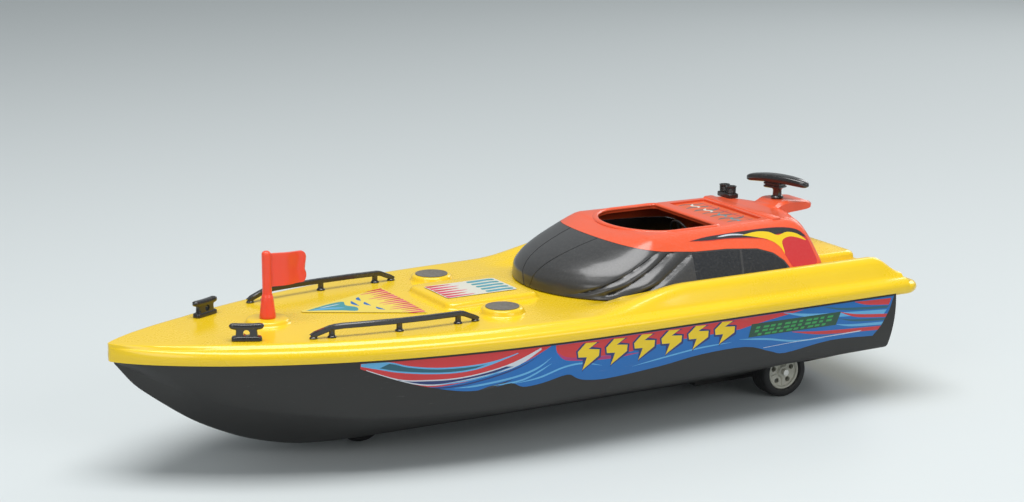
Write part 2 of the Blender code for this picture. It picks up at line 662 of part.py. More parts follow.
for side_name, side in (("port", 1), ("starboard", -1)):
    tyre(f"rear_tyre_{side_name}", REAR_AXLE_X, side * REAR_WHEEL_Y, WHEEL_HALF)
    hub(f"rear_hub_{side_name}", REAR_AXLE_X, side * REAR_WHEEL_Y, WHEEL_HALF, side)
node("rear_axle", rod("Y", (REAR_AXLE_X, WHEEL_R), AXLE_R, -40.2, 40.2), STEEL, (REAR_AXLE_X, 0, WHEEL_R))

FRONT_HALF = 3.6
tyre("front_tyre", FRONT_AXLE_X, 0, FRONT_HALF)
hub("front_hub", FRONT_AXLE_X, 0, FRONT_HALF, 1)
node("front_axle", rod("Y", (FRONT_AXLE_X, WHEEL_R), AXLE_R - 0.05, -9.2, 9.2), STEEL, (FRONT_AXLE_X, 0, WHEEL_R))


# ---------------------------------------------------------------- friction drive

def gear_outline(teeth, centre, turn):
    """Outline of a spur gear: straight-sided teeth, thin enough to run with backlash."""
    pitch = MODULE * teeth / 2
    root, tip = pitch - 1.2 * MODULE, pitch + 0.85 * MODULE
    step = 2 * math.pi / teeth
    points = []
    for i in range(teeth):
        middle = turn + i * step
        for radius, offset in ((root, -0.3), (tip, -0.11), (tip, 0.11), (root, 0.3)):
            angle = middle + offset * step
            points.append((centre[0] + radius * math.cos(angle), centre[1] + radius * math.sin(angle)))
    return points


def gear(teeth, centre, turn, low, high):
    """A spur gear along Y, with no bore yet."""
    return prism(gear_outline(teeth, centre, turn), "Y", low, high)


def bored(item, centre, radius):
    """Cuts a round bore along Y through a gear."""
    return cut(item, rod("Y", centre, radius, -20, 20))


def meshed_turn(direction, teeth, turn, next_teeth):
    """How far the next gear is turned so that its gap meets this gear's tooth on their line of centres."""
    phase = ((direction - turn) / (2 * math.pi / teeth)) % 1.0
    step = 2 * math.pi / next_teeth
    return direction + math.pi + (phase - 0.5) * step


CENTRES = MODULE * (AXLE_TEETH + PINION_TEETH) / 2
AXLE_CENTRE = (REAR_AXLE_X, WHEEL_R)
TO_IDLER = math.radians(72)
TO_FLYWHEEL = math.radians(6)
IDLER_CENTRE = (AXLE_CENTRE[0] + CENTRES * math.cos(TO_IDLER), AXLE_CENTRE[1] + CENTRES * math.sin(TO_IDLER))
FLYWHEEL_CENTRE = (IDLER_CENTRE[0] + CENTRES * math.cos(TO_FLYWHEEL),
                   IDLER_CENTRE[1] + CENTRES * math.sin(TO_FLYWHEEL))
SHAFT_R = 1.0
idler_turn = meshed_turn(TO_IDLER, AXLE_TEETH, 0, PINION_TEETH)
flywheel_turn = meshed_turn(TO_FLYWHEEL, IDLER_TEETH, 0, PINION_TEETH)


def at_y(centre, y=0.0):
    """A point on an axis along Y."""
    return (centre[0], y, centre[1])


axle_gear = gear(AXLE_TEETH, AXLE_CENTRE, 0, 2.0, 5.5)
node("axle_gear", bored(axle_gear, AXLE_CENTRE, AXLE_R + 0.12), NYLON, at_y(AXLE_CENTRE))
idler = union(gear(IDLER_TEETH, IDLER_CENTRE, 0, -3.0, 0.4), gear(PINION_TEETH, IDLER_CENTRE, idler_turn, 0.2, 6.0))
node("idler_gear", bored(idler, IDLER_CENTRE, SHAFT_R + 0.12), NYLON, at_y(IDLER_CENTRE))
node("idler_shaft", rod("Y", IDLER_CENTRE, SHAFT_R, -11.8, 11.8), STEEL, at_y(IDLER_CENTRE))
pinion = gear(PINION_TEETH, FLYWHEEL_CENTRE, flywheel_turn, -3.6, 1.0)
node("flywheel_pinion", bored(pinion, FLYWHEEL_CENTRE, SHAFT_R + 0.12), NYLON, at_y(FLYWHEEL_CENTRE))
FLYWHEEL_R = 8.0
rim_disc = turned([(SHAFT_R + 0.12, -10.2), (FLYWHEEL_R, -10.2), (FLYWHEEL_R, -4.2), (SHAFT_R + 0.12, -4.2)], "Y",
              at_y(FLYWHEEL_CENTRE), 28)
node("flywheel", rim_disc, STEEL, at_y(FLYWHEEL_CENTRE))
node("flywheel_shaft", rod("Y", FLYWHEEL_CENTRE, SHAFT_R, -11.8, 11.8), STEEL, at_y(FLYWHEEL_CENTRE))

CASE_WALL = 1.3
RUNNING = 0.12
EAR_TOP = 14.2
for side_name, side in (("port", 1), ("starboard", -1)):
    near, far = sorted((side * 0.1, side * CASE_Y))
    case = box(CASE_X0, CASE_X1, near, far, CASE_Z0, CASE_Z1)
    near, far = sorted((-side * 1.0, side * (CASE_Y - CASE_WALL)))
    cut(case, box(CASE_X0 + CASE_WALL, CASE_X1 - CASE_WALL, near, far, CASE_Z0 + 1.0, CASE_Z1 - CASE_WALL))
    for centre, radius in ((AXLE_CENTRE, AXLE_R), (IDLER_CENTRE, SHAFT_R), (FLYWHEEL_CENTRE, SHAFT_R)):
        near, far = sorted((side * 8.0, side * (CASE_Y + 1)))
        cut(case, rod("Y", centre, radius + RUNNING, near, far))
    ear = box(CASE_X1 - 0.5, CASE_X1 + 7.5, *sorted((side * 0.1, side * 7.5)), CASE_POST_TOP + GAP, EAR_TOP)
    union(case, ear)
    cut(case, rod("Z", (CASE_SCREWS[0][0], side * CASE_SCREWS[0][1]), 1.3, 10, 16, 12))
    node(f"gearbox_case_{side_name}", case, CASE)


# ---------------------------------------------------------------- screws

def screw(name, place, seat, length, head_r=SCREW_HEAD_R, shank_r=SCREW_SHANK_R, upward=1):
    """A pan-head self-tapping screw standing along Z, its head below its seat."""
    head = 1.6
    rings = [(head_r * 0.55, -head), (head_r * 0.95, -head * 0.6), (head_r, -0.1), (shank_r, -0.05),
             (shank_r, length - 1.5), (0.3, length)]
    item = loft([[(place[0] + x, place[1] + y, seat + upward * h) for x, y in circle(r, 12)] for r, h in rings])
    slot = box(place[0] - 0.3, place[0] + 0.3, place[1] - 0.65 * head_r, place[1] + 0.65 * head_r,
               *sorted((seat - upward * (head + 1), seat - upward * (head - 0.6))))
    return node(name, cut(item, slot), STEEL)


for i, place in enumerate(SCREWS):
    seat = SCREW_SEAT if abs(place[1]) > 1 else SCREW_SEAT + 9
    screw(f"hull_screw_{i + 1}", place, seat - GAP, POST_TOP + 11 - seat)
for i, place in enumerate(CASE_SCREWS):
    screw(f"gearbox_screw_{i + 1}", place, EAR_TOP + GAP, 6.4, 2.0, 0.95, -1)
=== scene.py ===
import math

import bmesh
import bpy
from mathutils import Matrix, Vector
from mathutils.geometry import delaunay_2d_cdt


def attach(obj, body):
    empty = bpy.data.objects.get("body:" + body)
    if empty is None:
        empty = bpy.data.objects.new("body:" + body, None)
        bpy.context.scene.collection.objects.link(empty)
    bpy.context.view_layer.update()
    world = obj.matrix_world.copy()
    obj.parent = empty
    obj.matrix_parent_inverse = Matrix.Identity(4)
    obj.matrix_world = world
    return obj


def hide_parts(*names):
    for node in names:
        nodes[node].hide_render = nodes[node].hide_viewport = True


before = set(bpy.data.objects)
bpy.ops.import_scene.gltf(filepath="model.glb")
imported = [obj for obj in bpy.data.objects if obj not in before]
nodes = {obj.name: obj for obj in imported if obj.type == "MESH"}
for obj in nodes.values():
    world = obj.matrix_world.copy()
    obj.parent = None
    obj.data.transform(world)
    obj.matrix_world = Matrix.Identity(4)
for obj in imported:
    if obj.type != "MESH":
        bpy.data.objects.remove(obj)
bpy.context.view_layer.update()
MM = 0.001


# ---------------------------------------------------------------- where the boat stands
# A plain pale floor in a bright pale room, under one wide overhead softbox and three smaller
# panels off the bow, the port side and the stern. A long lens looks down on the port bow.

def added(name, data):
    """A new object in the scene that shows a mesh, a lamp or a camera."""
    item = bpy.data.objects.new(name, data)
    bpy.context.scene.collection.objects.link(item)
    return item


FLOOR_HALF = 9
floor_mesh = bpy.data.meshes.new("floor")
floor_mesh.from_pydata([(x * FLOOR_HALF, y * FLOOR_HALF, 0) for x, y in ((-1, -1), (1, -1), (1, 1), (-1, 1))],
                       [], [(0, 1, 2, 3)])
floor = added("floor", floor_mesh)
floor_finish = bpy.data.materials.new("pale_floor")
floor_finish.use_nodes = True
floor_shader = floor_finish.node_tree.nodes["Principled BSDF"]
floor_shader.inputs["Base Color"].default_value = (0.62, 0.66, 0.665, 1)
floor_shader.inputs["Roughness"].default_value = 0.62
floor_mesh.materials.append(floor_finish)

world = bpy.data.worlds.new("pale_room")
world.use_nodes = True
room_light = world.node_tree.nodes["Background"]
room_light.inputs["Color"].default_value = (0.84, 0.9, 0.93, 1)
room_light.inputs["Strength"].default_value = 0.36
bpy.context.scene.world = world
bpy.context.scene.view_settings.view_transform = "Standard"


def softbox(name, place, target, size_x, size_y, power):
    """A rectangular area light aimed at a point."""
    lamp = bpy.data.lights.new(name, "AREA")
    lamp.shape = "RECTANGLE"
    lamp.size = size_x
    lamp.size_y = size_y
    lamp.energy = power
    item = added(name, lamp)
    item.location = place
    item.rotation_euler = (Vector(target) - Vector(place)).to_track_quat("-Z", "Y").to_euler()


softbox("overhead_softbox", (0.1, 0.15, 1.5), (0, 0, 0.05), 1.3, 0.8, 22)
softbox("bow_panel", (1.5, 0.9, 0.8), (0.05, 0, 0.05), 0.7, 0.9, 5)
softbox("port_panel", (-0.5, 1.7, 0.9), (0, 0, 0.05), 1.2, 0.5, 6)
softbox("stern_panel", (-1.4, -0.8, 0.8), (0, 0, 0.06), 0.8, 0.6, 4)

camera_data = bpy.data.cameras.new("camera")
camera_data.lens = 80.25
camera_data.sensor_width = 36
camera = added("camera", camera_data)
camera.location = (0.49957, 0.91467, 0.32459)
YAW, DIP = math.radians(28.888), math.radians(13.169)
looking = Vector((-math.sin(YAW) * math.cos(DIP), -math.cos(YAW) * math.cos(DIP), -math.sin(DIP)))
camera.rotation_euler = looking.to_track_quat("-Z", "Y").to_euler()
bpy.context.scene.camera = camera


# ---------------------------------------------------------------- hull
# One injection-moulded shell in satin black plastic, 1.8 mm thick. It has a flat keel pad, hard
# chines, arches for the rear wheels, a slot for the front wheel and a hole for the gearbox.

def between(points, at):
    """A smooth reading of a list of (place, value) points, without overshoot."""
    if at <= points[0][0]:
        return points[0][1]
    if at >= points[-1][0]:
        return points[-1][1]
    steps = [(v1 - v0) / (p1 - p0) for (p0, v0), (p1, v1) in zip(points, points[1:])]
    inner = [0 if a * b <= 0 else 2 * a * b / (a + b) for a, b in zip(steps, steps[1:])]
    slopes = [steps[0]] + inner + [steps[-1]]
    for i, ((p0, v0), (p1, v1)) in enumerate(zip(points, points[1:])):
        if at <= p1:
            width = p1 - p0
            t = (at - p0) / width
            return ((2 * t ** 3 - 3 * t ** 2 + 1) * v0 + (t ** 3 - 2 * t ** 2 + t) * width * slopes[i]
                    + (3 * t ** 2 - 2 * t ** 3) * v1 + (t ** 3 - t ** 2) * width * slopes[i + 1])


def ease(value):
    """0 below 0, 1 above 1, and a smooth step between."""
    value = max(0.0, min(1.0, value))
    return value * value * (3 - 2 * value)


def spread(low, high, count):
    """Evenly spaced values from low to high."""
    return [low + (high - low) * i / (count - 1) for i in range(count)]


def smooth(mesh, crease=35):
    """Shades a mesh smooth, apart from edges sharper than the crease angle in degrees."""
    mesh.shade_smooth()
    mesh.set_sharp_from_angle(angle=math.radians(crease))


def piece_from(name, bm, crease=35):
    """An object in metres from a bmesh in millimetres."""
    mesh = bpy.data.meshes.new(name)
    bm.to_mesh(mesh)
    bm.free()
    mesh.transform(Matrix.Scale(MM, 4))
    smooth(mesh, crease)
    return added(name, mesh)


def made(name, bm, crease=35):
    """An object from a closed bmesh in millimetres: doubles merged, faces outwards."""
    bmesh.ops.remove_doubles(bm, verts=bm.verts, dist=0.0005)
    bmesh.ops.dissolve_degenerate(bm, edges=bm.edges, dist=0.0002)
    bmesh.ops.recalc_face_normals(bm, faces=bm.faces)
    return piece_from(name, bm, crease)


def lofted(rings, bm=None, caps=True):
    """Rings of equal point count joined in a row. Returns the bmesh, so that more can be added to it."""
    bm = bm or bmesh.new()
    rows = [[bm.verts.new(point) for point in ring] for ring in rings]
    count = len(rows[0])
    for near, far in zip(rows, rows[1:]):
        for i in range(count):
            j = (i + 1) % count
            bm.faces.new((near[i], near[j], far[j], far[i]))
    if caps:
        bm.faces.new(rows[0])
        bm.faces.new(rows[-1])
    return bm


def plan_box(x0, x1, y0, y1, radius, steps=6):
    """A rectangle with round corners, as (x, y) points."""
    points = []
    for quarter, (cx, cy) in enumerate(((x1 - radius, y1 - radius), (x0 + radius, y1 - radius),
                                        (x0 + radius, y0 + radius), (x1 - radius, y0 + radius))):
        for i in range(steps + 1):
            angle = math.pi / 2 * (quarter + i / steps)
            points.append((cx + radius * math.cos(angle), cy + radius * math.sin(angle)))
    return points


def disc_plan(cx, cy, radius, count=64):
    """A circle as (x, y) points."""
    turns = [2 * math.pi * i / count for i in range(count)]
    return [(cx + radius * math.cos(angle), cy + radius * math.sin(angle)) for angle in turns]


def raised(name, levels):
    """A closed shape from plan outlines, each with its height."""
    return made(name, lofted([[(x, y, z) for x, y in plan] for plan, z in levels]))


def block(x0, x1, y0, y1, z0, z1, radius=1.0):
    """A tool for cutting: a box with round upright edges."""
    plan = plan_box(x0, x1, y0, y1, radius)
    return raised("tool", [(plan, z0), (plan, z1)])


def peg(along, centre, radius, low, high, count=32):
    """A tool for cutting: a cylinder along Y or Z."""
    plan = disc_plan(*centre, radius, count)
    rings = [[(u, w, v) if along == "Y" else (u, v, w) for u, v in plan] for w in (low, high)]
    return made("tool", lofted(rings))


def carve(item, tools, operation="DIFFERENCE", crease=35):
    """Cuts, joins or keeps what is shared, exactly, and leaves a plain mesh."""
    for tool in tools:
        modifier = item.modifiers.new("carve", "BOOLEAN")
        modifier.operation = operation
        modifier.solver = "EXACT"
        modifier.object = tool
        result = bpy.data.meshes.new_from_object(item.evaluated_get(bpy.context.evaluated_depsgraph_get()))
        item.modifiers.remove(modifier)
        item.data = result
        bpy.data.objects.remove(tool)
    smooth(item.data, crease)
    return item


SIDES = ((1, "port"), (-1, "starboard"))
HALF_LENGTH, HALF_BEAM, SHEER, DECK = 194.0, 70.0, 53.5, 61.7
SHOULDER, TRANSOM, WALL = -44.0, -179.0, 1.8
REAR_X, FRONT_X, WHEEL_R = -136.0, 75.5, 12.5
WELLS = [(REAR_X, 42, 16, 17.5, 27.5), (REAR_X, -42, 16, 17.5, 27.5), (FRONT_X, 0, 15, 5.6, 28)]
WELL_RADII, WELL_WALL = (2.5, 2.5, 2.0), 1.5
SCREW_SPOTS = [(150, 0), (0, 42), (0, -42), (-165.5, 31), (-165.5, -31)]
# (station, value) points along the boat: keel height, pad and chine half widths, chine height
KEEL_LINE = [(-179, 10), (-160, 8.5), (-146, 5.4), (90, 5.4), (107, 6.0), (118, 7.6), (127, 9.6),
             (135, 12), (142, 14.8), (149, 18), (156.5, 22), (163.5, 26.6), (170, 31.4), (177, 36.8),
             (182, 41), (186, 45.5), (189, 49.5), (191.5, 52.5)]
PAD_LINE = [(-179, 13), (70, 13), (110, 10), (140, 5), (165, 1.5), (191.5, 0.3)]
CHINE_LINE = [(-179, 63), (10, 63), (40, 60.5), (60, 57.5), (91, 51), (120, 38), (136, 30), (150, 22.5),
              (162, 15), (172, 9), (180, 5), (186, 2.5), (191.5, 0.6)]
CHINE_HEIGHT = [(-179, 25.5), (40, 24.5), (91, 25.9), (120, 28.4), (136, 30.4), (150, 33.4), (162, 37.6),
                (172, 42.6), (180, 46.8), (186, 50.2), (191.5, 53)]


def half_beam(x):
    """Half width of the boat at its sheer line."""
    share = min(1.0, max(0.0, (x - SHOULDER) / (HALF_LENGTH - SHOULDER)))
    return HALF_BEAM * (1 - share ** 2.5) ** 0.79


def hull_side(x, z, proud=0.0):
    """The point of the port side at a station and height, from the sheer down to the chine."""
    rim = max(0.6, half_beam(x) - 1.2)
    chine, low = between(CHINE_LINE, x), between(CHINE_HEIGHT, x)
    down = max(0.0, min(1.0, (SHEER - z) / (SHEER - low)))
    swell = max(0.0, 0.14 * rim - 0.12 * chine)
    return (x, rim + (chine - rim) * down + 4 * down * (1 - down) * swell + proud, z)


def hull_ring(x, inset, top):
    """One section of the hull from the port sheer round the keel to the starboard sheer."""
    keel = between(KEEL_LINE, x) + inset
    pad = max(0.2, between(PAD_LINE, x) - 0.2 * inset)
    chine_y = max(0.4, between(CHINE_LINE, x) - inset)
    chine_z = max(between(CHINE_HEIGHT, x) + 0.8 * inset, keel + 0.2)
    half = []
    for share in spread(0, 0.94, 12):
        _, y, z = hull_side(x, SHEER - share * (SHEER - between(CHINE_HEIGHT, x)))
        half.append((max(0.5, y - inset), z))
    half[0] = (half[0][0], top)
    near = half[-1]
    bottom = [(chine_y + (pad - chine_y) * s, chine_z + (keel - chine_z) * s) for s in (0.05, 0.3, 0.6, 0.93)]
    for turn in (0.25, 0.5, 0.75):
        half.append(tuple((1 - turn) ** 2 * n + 2 * turn * (1 - turn) * c + turn ** 2 * b
                          for n, c, b in zip(near, (chine_y, chine_z), bottom[0])))
    half += bottom
    half.append((pad * 0.94, keel + 0.02))
    half.append((pad * 0.8, keel))
    return [(x, y, z) for y, z in half] + [(x, -y, z) for y, z in reversed(half)]


def wheel_well(x, y, reach, half, top, radius, wall=0.0):
    """The tool for the opening round a wheel, or for that opening with the wall round it."""
    reach, half = reach + wall, half + wall
    return block(x - reach, x + reach, y - half, y + half, -5, top + wall, radius)


hull_x = spread(TRANSOM, -50, 24) + spread(-44, 150, 44) + spread(154, 190, 16)
hull = made("hull", lofted([hull_ring(x, 0, SHEER) for x in hull_x] + [hull_ring(191.2, 0, SHEER)]))
hollow = made("tool", lofted([hull_ring(x, WALL, SHEER + 6) for x in [TRANSOM + WALL] + hull_x[1:-3]]))
carve(hollow, [wheel_well(*well, 1.0, WELL_WALL) for well in WELLS])
wells = [wheel_well(*well, radius) for well, radius in zip(WELLS, WELL_RADII)]
gearbox_hole = block(-147.3, -100.7, -12.9, 12.9, -5, 20, 0.6)
screw_bores = [peg("Z", spot, 3.0, -5, 29 if spot[0] == 150 else 20) for spot in SCREW_SPOTS]
carve(hull, [hollow] + wells + [gearbox_hole] + screw_bores)


def shared_effect(name, inputs, outputs):
    """An empty node group with named inputs and outputs. Returns the group and its two end nodes."""
    group = bpy.data.node_groups.new(name, "ShaderNodeTree")
    for label, kind, value in inputs:
        socket = group.interface.new_socket(label, in_out="INPUT", socket_type=kind)
        if value is not None:
            socket.default_value = value
    for label, kind in outputs:
        group.interface.new_socket(label, in_out="OUTPUT", socket_type=kind)
    return group, group.nodes.new("NodeGroupInput"), group.nodes.new("NodeGroupOutput")


def maths(tree, operation, first, second, clamp=False):
    """A Math node fed by sockets or numbers. Returns its output."""
    item = tree.nodes.new("ShaderNodeMath")
    item.operation = operation
    item.use_clamp = clamp
    for socket, value in zip(item.inputs, (first, second)):
        if isinstance(value, (int, float)):
            socket.default_value = value
        else:
            tree.links.new(value, socket)
    return item.outputs[0]


def noise(tree, vector, scale, detail=2.0, roughness=0.5, stretch=(1, 1, 1)):
    """A noise texture on stretched coordinates. Returns its value."""
    mapping = tree.nodes.new("ShaderNodeMapping")
    mapping.inputs["Scale"].default_value = stretch
    tree.links.new(vector, mapping.inputs["Vector"])
    item = tree.nodes.new("ShaderNodeTexNoise")
    item.inputs["Detail"].default_value = detail
    item.inputs["Roughness"].default_value = roughness
    if isinstance(scale, (int, float)):
        item.inputs["Scale"].default_value = scale
    else:
        tree.links.new(scale, item.inputs["Scale"])
    tree.links.new(mapping.outputs[0], item.inputs["Vector"])
    return item.outputs["Fac"]


# Moulded plastic: a fine spark-eroded grain and broad uneven cooling
grain_group, grain_in, grain_out = shared_effect(
    "moulded_grain",
    [("Vector", "NodeSocketVector", None), ("Grain", "NodeSocketFloat", 1800.0),
     ("Cooling", "NodeSocketFloat", 18.0)],
    [("Height", "NodeSocketFloat"), ("Mottle", "NodeSocketFloat")])
fine = noise(grain_group, grain_in.outputs["Vector"], grain_in.outputs["Grain"], 3.0, 0.6)
broad = noise(grain_group, grain_in.outputs["Vector"], grain_in.outputs["Cooling"], 3.0, 0.55)
grain_group.links.new(maths(grain_group, "ADD", maths(grain_group, "MULTIPLY", fine, 0.35), broad),
                      grain_out.inputs["Height"])
grain_group.links.new(broad, grain_out.inputs["Mottle"])

# Handling: sparse hairline scratches along the boat, and a few duller rubbed patches
scuff_group, scuff_in, scuff_out = shared_effect(
    "handling_scuffs",
    [("Vector", "NodeSocketVector", None), ("Amount", "NodeSocketFloat", 0.5)],
    [("Scratches", "NodeSocketFloat"), ("Rubbed", "NodeSocketFloat")])
hairs = noise(scuff_group, scuff_in.outputs["Vector"], 60.0, 6.0, 0.7, (1.0, 9.0, 14.0))
hairs = maths(scuff_group, "MULTIPLY", maths(scuff_group, "SUBTRACT", hairs, 0.64, True), 9.0, True)
patches = noise(scuff_group, scuff_in.outputs["Vector"], 26.0, 4.0, 0.6)
patches = maths(scuff_group, "MULTIPLY", maths(scuff_group, "SUBTRACT", patches, 0.5, True), 3.0, True)
for mark, output in ((hairs, "Scratches"), (patches, "Rubbed")):
    scuff_group.links.new(maths(scuff_group, "MULTIPLY", mark, scuff_in.outputs["Amount"]),
                          scuff_out.inputs[output])

# Dust that settles on faces turned upwards
dust_group, dust_in, dust_out = shared_effect(
    "settled_dust",
    [("Vector", "NodeSocketVector", None), ("Amount", "NodeSocketFloat", 0.1)],
    [("Mask", "NodeSocketFloat")])
facing = dust_group.nodes.new("ShaderNodeNewGeometry")
upward = dust_group.nodes.new("ShaderNodeSeparateXYZ")
dust_group.links.new(facing.outputs["Normal"], upward.inputs[0])
specks = noise(dust_group, dust_in.outputs["Vector"], 900.0, 3.0, 0.65)
specks = maths(dust_group, "MULTIPLY", maths(dust_group, "SUBTRACT", specks, 0.42, True), 4.0, True)
lying = maths(dust_group, "MULTIPLY", maths(dust_group, "MAXIMUM", upward.outputs["Z"], 0.0), specks)
dust_group.links.new(maths(dust_group, "MULTIPLY", lying, dust_in.outputs["Amount"]), dust_out.inputs["Mask"])


def finish(name, colour, roughness, uneven, grain, relief, scuffs, dust, metallic=0.0, ink=None, coat=0.0,
           scatter=0.0):
    """A moulded, printed or turned finish. relief is the depth of its grain in millimetres, and ink
    names a colour attribute that takes the place of the one colour."""
    material = bpy.data.materials.new(name)
    material.use_nodes = True
    tree = material.node_tree
    shader = tree.nodes["Principled BSDF"]
    place = tree.nodes.new("ShaderNodeTexCoord").outputs["Object"]

    def effect(group, **values):
        item = tree.nodes.new("ShaderNodeGroup")
        item.node_tree = group
        for label, value in values.items():
            item.inputs[label].default_value = value
        tree.links.new(place, item.inputs["Vector"])
        return item.outputs

    moulded = effect(grain_group, Grain=grain, Cooling=18.0)
    worn = effect(scuff_group, Amount=scuffs)
    settled = effect(dust_group, Amount=dust)

    def blended(share, first, second):
        item = tree.nodes.new("ShaderNodeMix")
        item.data_type = "RGBA"
        tree.links.new(share, item.inputs["Factor"])
        for socket, value in ((item.inputs[6], first), (item.inputs[7], second)):
            if isinstance(value, tuple):
                socket.default_value = (*value, 1)
            else:
                tree.links.new(value, socket)
        return item.outputs[2]

    if ink:
        attribute = tree.nodes.new("ShaderNodeAttribute")
        attribute.attribute_name = ink
        base = attribute.outputs["Color"]
        darker = tree.nodes.new("ShaderNodeHueSaturation")
        darker.inputs["Value"].default_value = 1 - 3 * uneven
        tree.links.new(base, darker.inputs["Color"])
        base = blended(moulded["Mottle"], darker.outputs[0], base)
    else:
        low = tuple(c * (1 - 2 * uneven) for c in colour)
        high = tuple(min(1.0, c * (1 + uneven) + 0.3 * uneven * max(colour)) for c in colour)
        base = blended(moulded["Mottle"], low, high)
    pale = tuple(0.35 + 0.5 * c for c in colour)
    base = blended(maths(tree, "MULTIPLY", worn["Scratches"], 0.5), base, pale)
    base = blended(settled["Mask"], base, (0.55, 0.53, 0.49))
    tree.links.new(base, shader.inputs["Base Color"])
    rough = maths(tree, "ADD", maths(tree, "MULTIPLY", moulded["Mottle"], 0.1), roughness - 0.05)
    rough = maths(tree, "ADD", rough, maths(tree, "MULTIPLY", worn["Rubbed"], 0.16))
    rough = maths(tree, "ADD", rough, maths(tree, "MULTIPLY", worn["Scratches"], 0.3))
    rough = maths(tree, "ADD", rough, maths(tree, "MULTIPLY", settled["Mask"], 0.6), True)
    tree.links.new(rough, shader.inputs["Roughness"])
    bump = tree.nodes.new("ShaderNodeBump")
    bump.inputs["Strength"].default_value = 1.0
    bump.inputs["Distance"].default_value = relief * MM
    height = maths(tree, "SUBTRACT", moulded["Height"], maths(tree, "MULTIPLY", worn["Scratches"], 0.8))
    tree.links.new(height, bump.inputs["Height"])
    tree.links.new(bump.outputs[0], shader.inputs["Normal"])
    shader.inputs["Metallic"].default_value = metallic
    shader.inputs["Coat Weight"].default_value = coat
    shader.inputs["Coat Roughness"].default_value = 0.12
    if scatter:
        shader.inputs["Subsurface Weight"].default_value = scatter
        shader.inputs["Subsurface Radius"].default_value = (1.0, 0.5, 0.1)
        shader.inputs["Subsurface Scale"].default_value = 0.0015
    return material


def placed(item, material, body, slot, *replaced):
    """Gives a piece its finish and its body, and hides the CAD nodes that it stands for."""
    item.data.materials.clear()
    item.data.materials.append(material)
    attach(item, body)
    if replaced:
        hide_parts(*replaced)
    return item


black_satin = finish("black_satin_plastic", (0.019, 0.018, 0.017), roughness=0.5, uneven=0.08, grain=2000.0,
                     relief=0.02, scuffs=0.3, dust=0.04)
placed(hull, black_satin, "boat", "black_hull_plastic", "hull_shell")


# ---------------------------------------------------------------- side stickers
# Printed vinyl film on each side of the hull: a blue wave with light edges, red and teal arcs and
# stripes. Yellow bolts with a navy outline and rows of green dashes stand in the place of words.

INKS = {"ground": (0.03, 0.028, 0.03), "red": (0.60, 0.032, 0.036), "blue": (0.0, 0.14, 0.46),
        "light": (0.12, 0.42, 0.72), "teal": (0.015, 0.11, 0.16), "navy": (0.012, 0.03, 0.15),
        "white": (0.62, 0.66, 0.72), "magenta": (0.42, 0.03, 0.16), "yellow": (0.86, 0.60, 0.01),
        "green": (0.03, 0.33, 0.08), "dark green": (0.01, 0.07, 0.035), "cream": (0.72, 0.70, 0.60),
        "aqua": (0.05, 0.30, 0.34), "grey": (0.16, 0.13, 0.12), "orange": (0.78, 0.12, 0.03),
        "lemon": (0.88, 0.68, 0.09), "rose": (0.72, 0.05, 0.14)}


def curve_through(points, per_span=5):
    """A smooth open line through a few points."""
    line = []
    ends = [points[0]] + list(points) + [points[-1]]
    for p0, p1, p2, p3 in zip(ends, ends[1:], ends[2:], ends[3:]):
        for i in range(per_span):
            t = i / per_span
            line.append(tuple(
                0.5 * (2 * b + (c - a) * t + (2 * a - 5 * b + 4 * c - d) * t * t
                       + (3 * b - a - 3 * c + d) * t ** 3)
                for a, b, c, d in zip(p0, p1, p2, p3)))
    line.append(tuple(points[-1]))
    return line


def brush(points, width, taper=0.25):
    """A closed outline round a line, thinner towards both ends."""
    line = curve_through(points)
    left, right = [], []
    for i, (x, z) in enumerate(line):
        ax, az = line[max(0, i - 1)]
        bx, bz = line[min(len(line) - 1, i + 1)]
        size = math.hypot(bx - ax, bz - az) or 1
        share = i / (len(line) - 1)
        half = 0.5 * width * max(0.08, min(1, share / taper, (1 - share) / taper))
        left.append((x - (bz - az) / size * half, z + (bx - ax) / size * half))
        right.append((x + (bz - az) / size * half, z - (bx - ax) / size * half))
    return left + right[::-1]


def strokes(rows):
    """Shapes of ink from rows of (points, width, ink)."""
    return [(brush(points, width), tint) for points, width, tint in rows]


def inside(point, outline):
    """Whether a point lies within a closed outline."""
    x, y = point
    hit = False
    for (ax, ay), (bx, by) in zip(outline, outline[1:] + outline[:1]):
        if (ay > y) != (by > y) and x < (bx - ax) * (y - ay) / (by - ay) + ax:
            hit = not hit
    return hit


def film(sheet, shapes, surface, grid=4.0):
    """A printed film: a sheet outline with shapes of ink, the last on top, laid on surface(u, v)."""
    points, loops = [], []
    for outline in [sheet] + [shape for shape, _ in shapes]:
        loops.append(list(range(len(points), len(points) + len(outline))))
        points += [Vector(p) for p in outline]
    low_u, high_u = min(p[0] for p in sheet), max(p[0] for p in sheet)
    low_v, high_v = min(p[1] for p in sheet), max(p[1] for p in sheet)
    inner = [(low_u + grid * i, low_v + grid * j) for i in range(1, int((high_u - low_u) / grid) + 1)
             for j in range(1, int((high_v - low_v) / grid) + 1)]
    points += [Vector(p) for p in inner if inside(p, sheet)]
    corners, _, faces, _, _, _ = delaunay_2d_cdt(points, [], loops, 0, 0.01)
    bm = bmesh.new()
    ink = bm.loops.layers.float_color.new("ink")
    verts = [bm.verts.new(surface(*corner)) for corner in corners]
    for face in faces:
        middle = [sum(corners[i][k] for i in face) / len(face) for k in (0, 1)]
        if not inside(middle, sheet):
            continue
        tints = [tint for outline, tint in shapes if inside(middle, outline)] or [shapes[0][1]]
        for loop in bm.faces.new([verts[i] for i in face]).loops:
            loop[ink] = (*INKS[tints[-1]], 1)
    bmesh.ops.delete(bm, geom=[v for v in bm.verts if not v.link_faces], context="VERTS")
    return bm


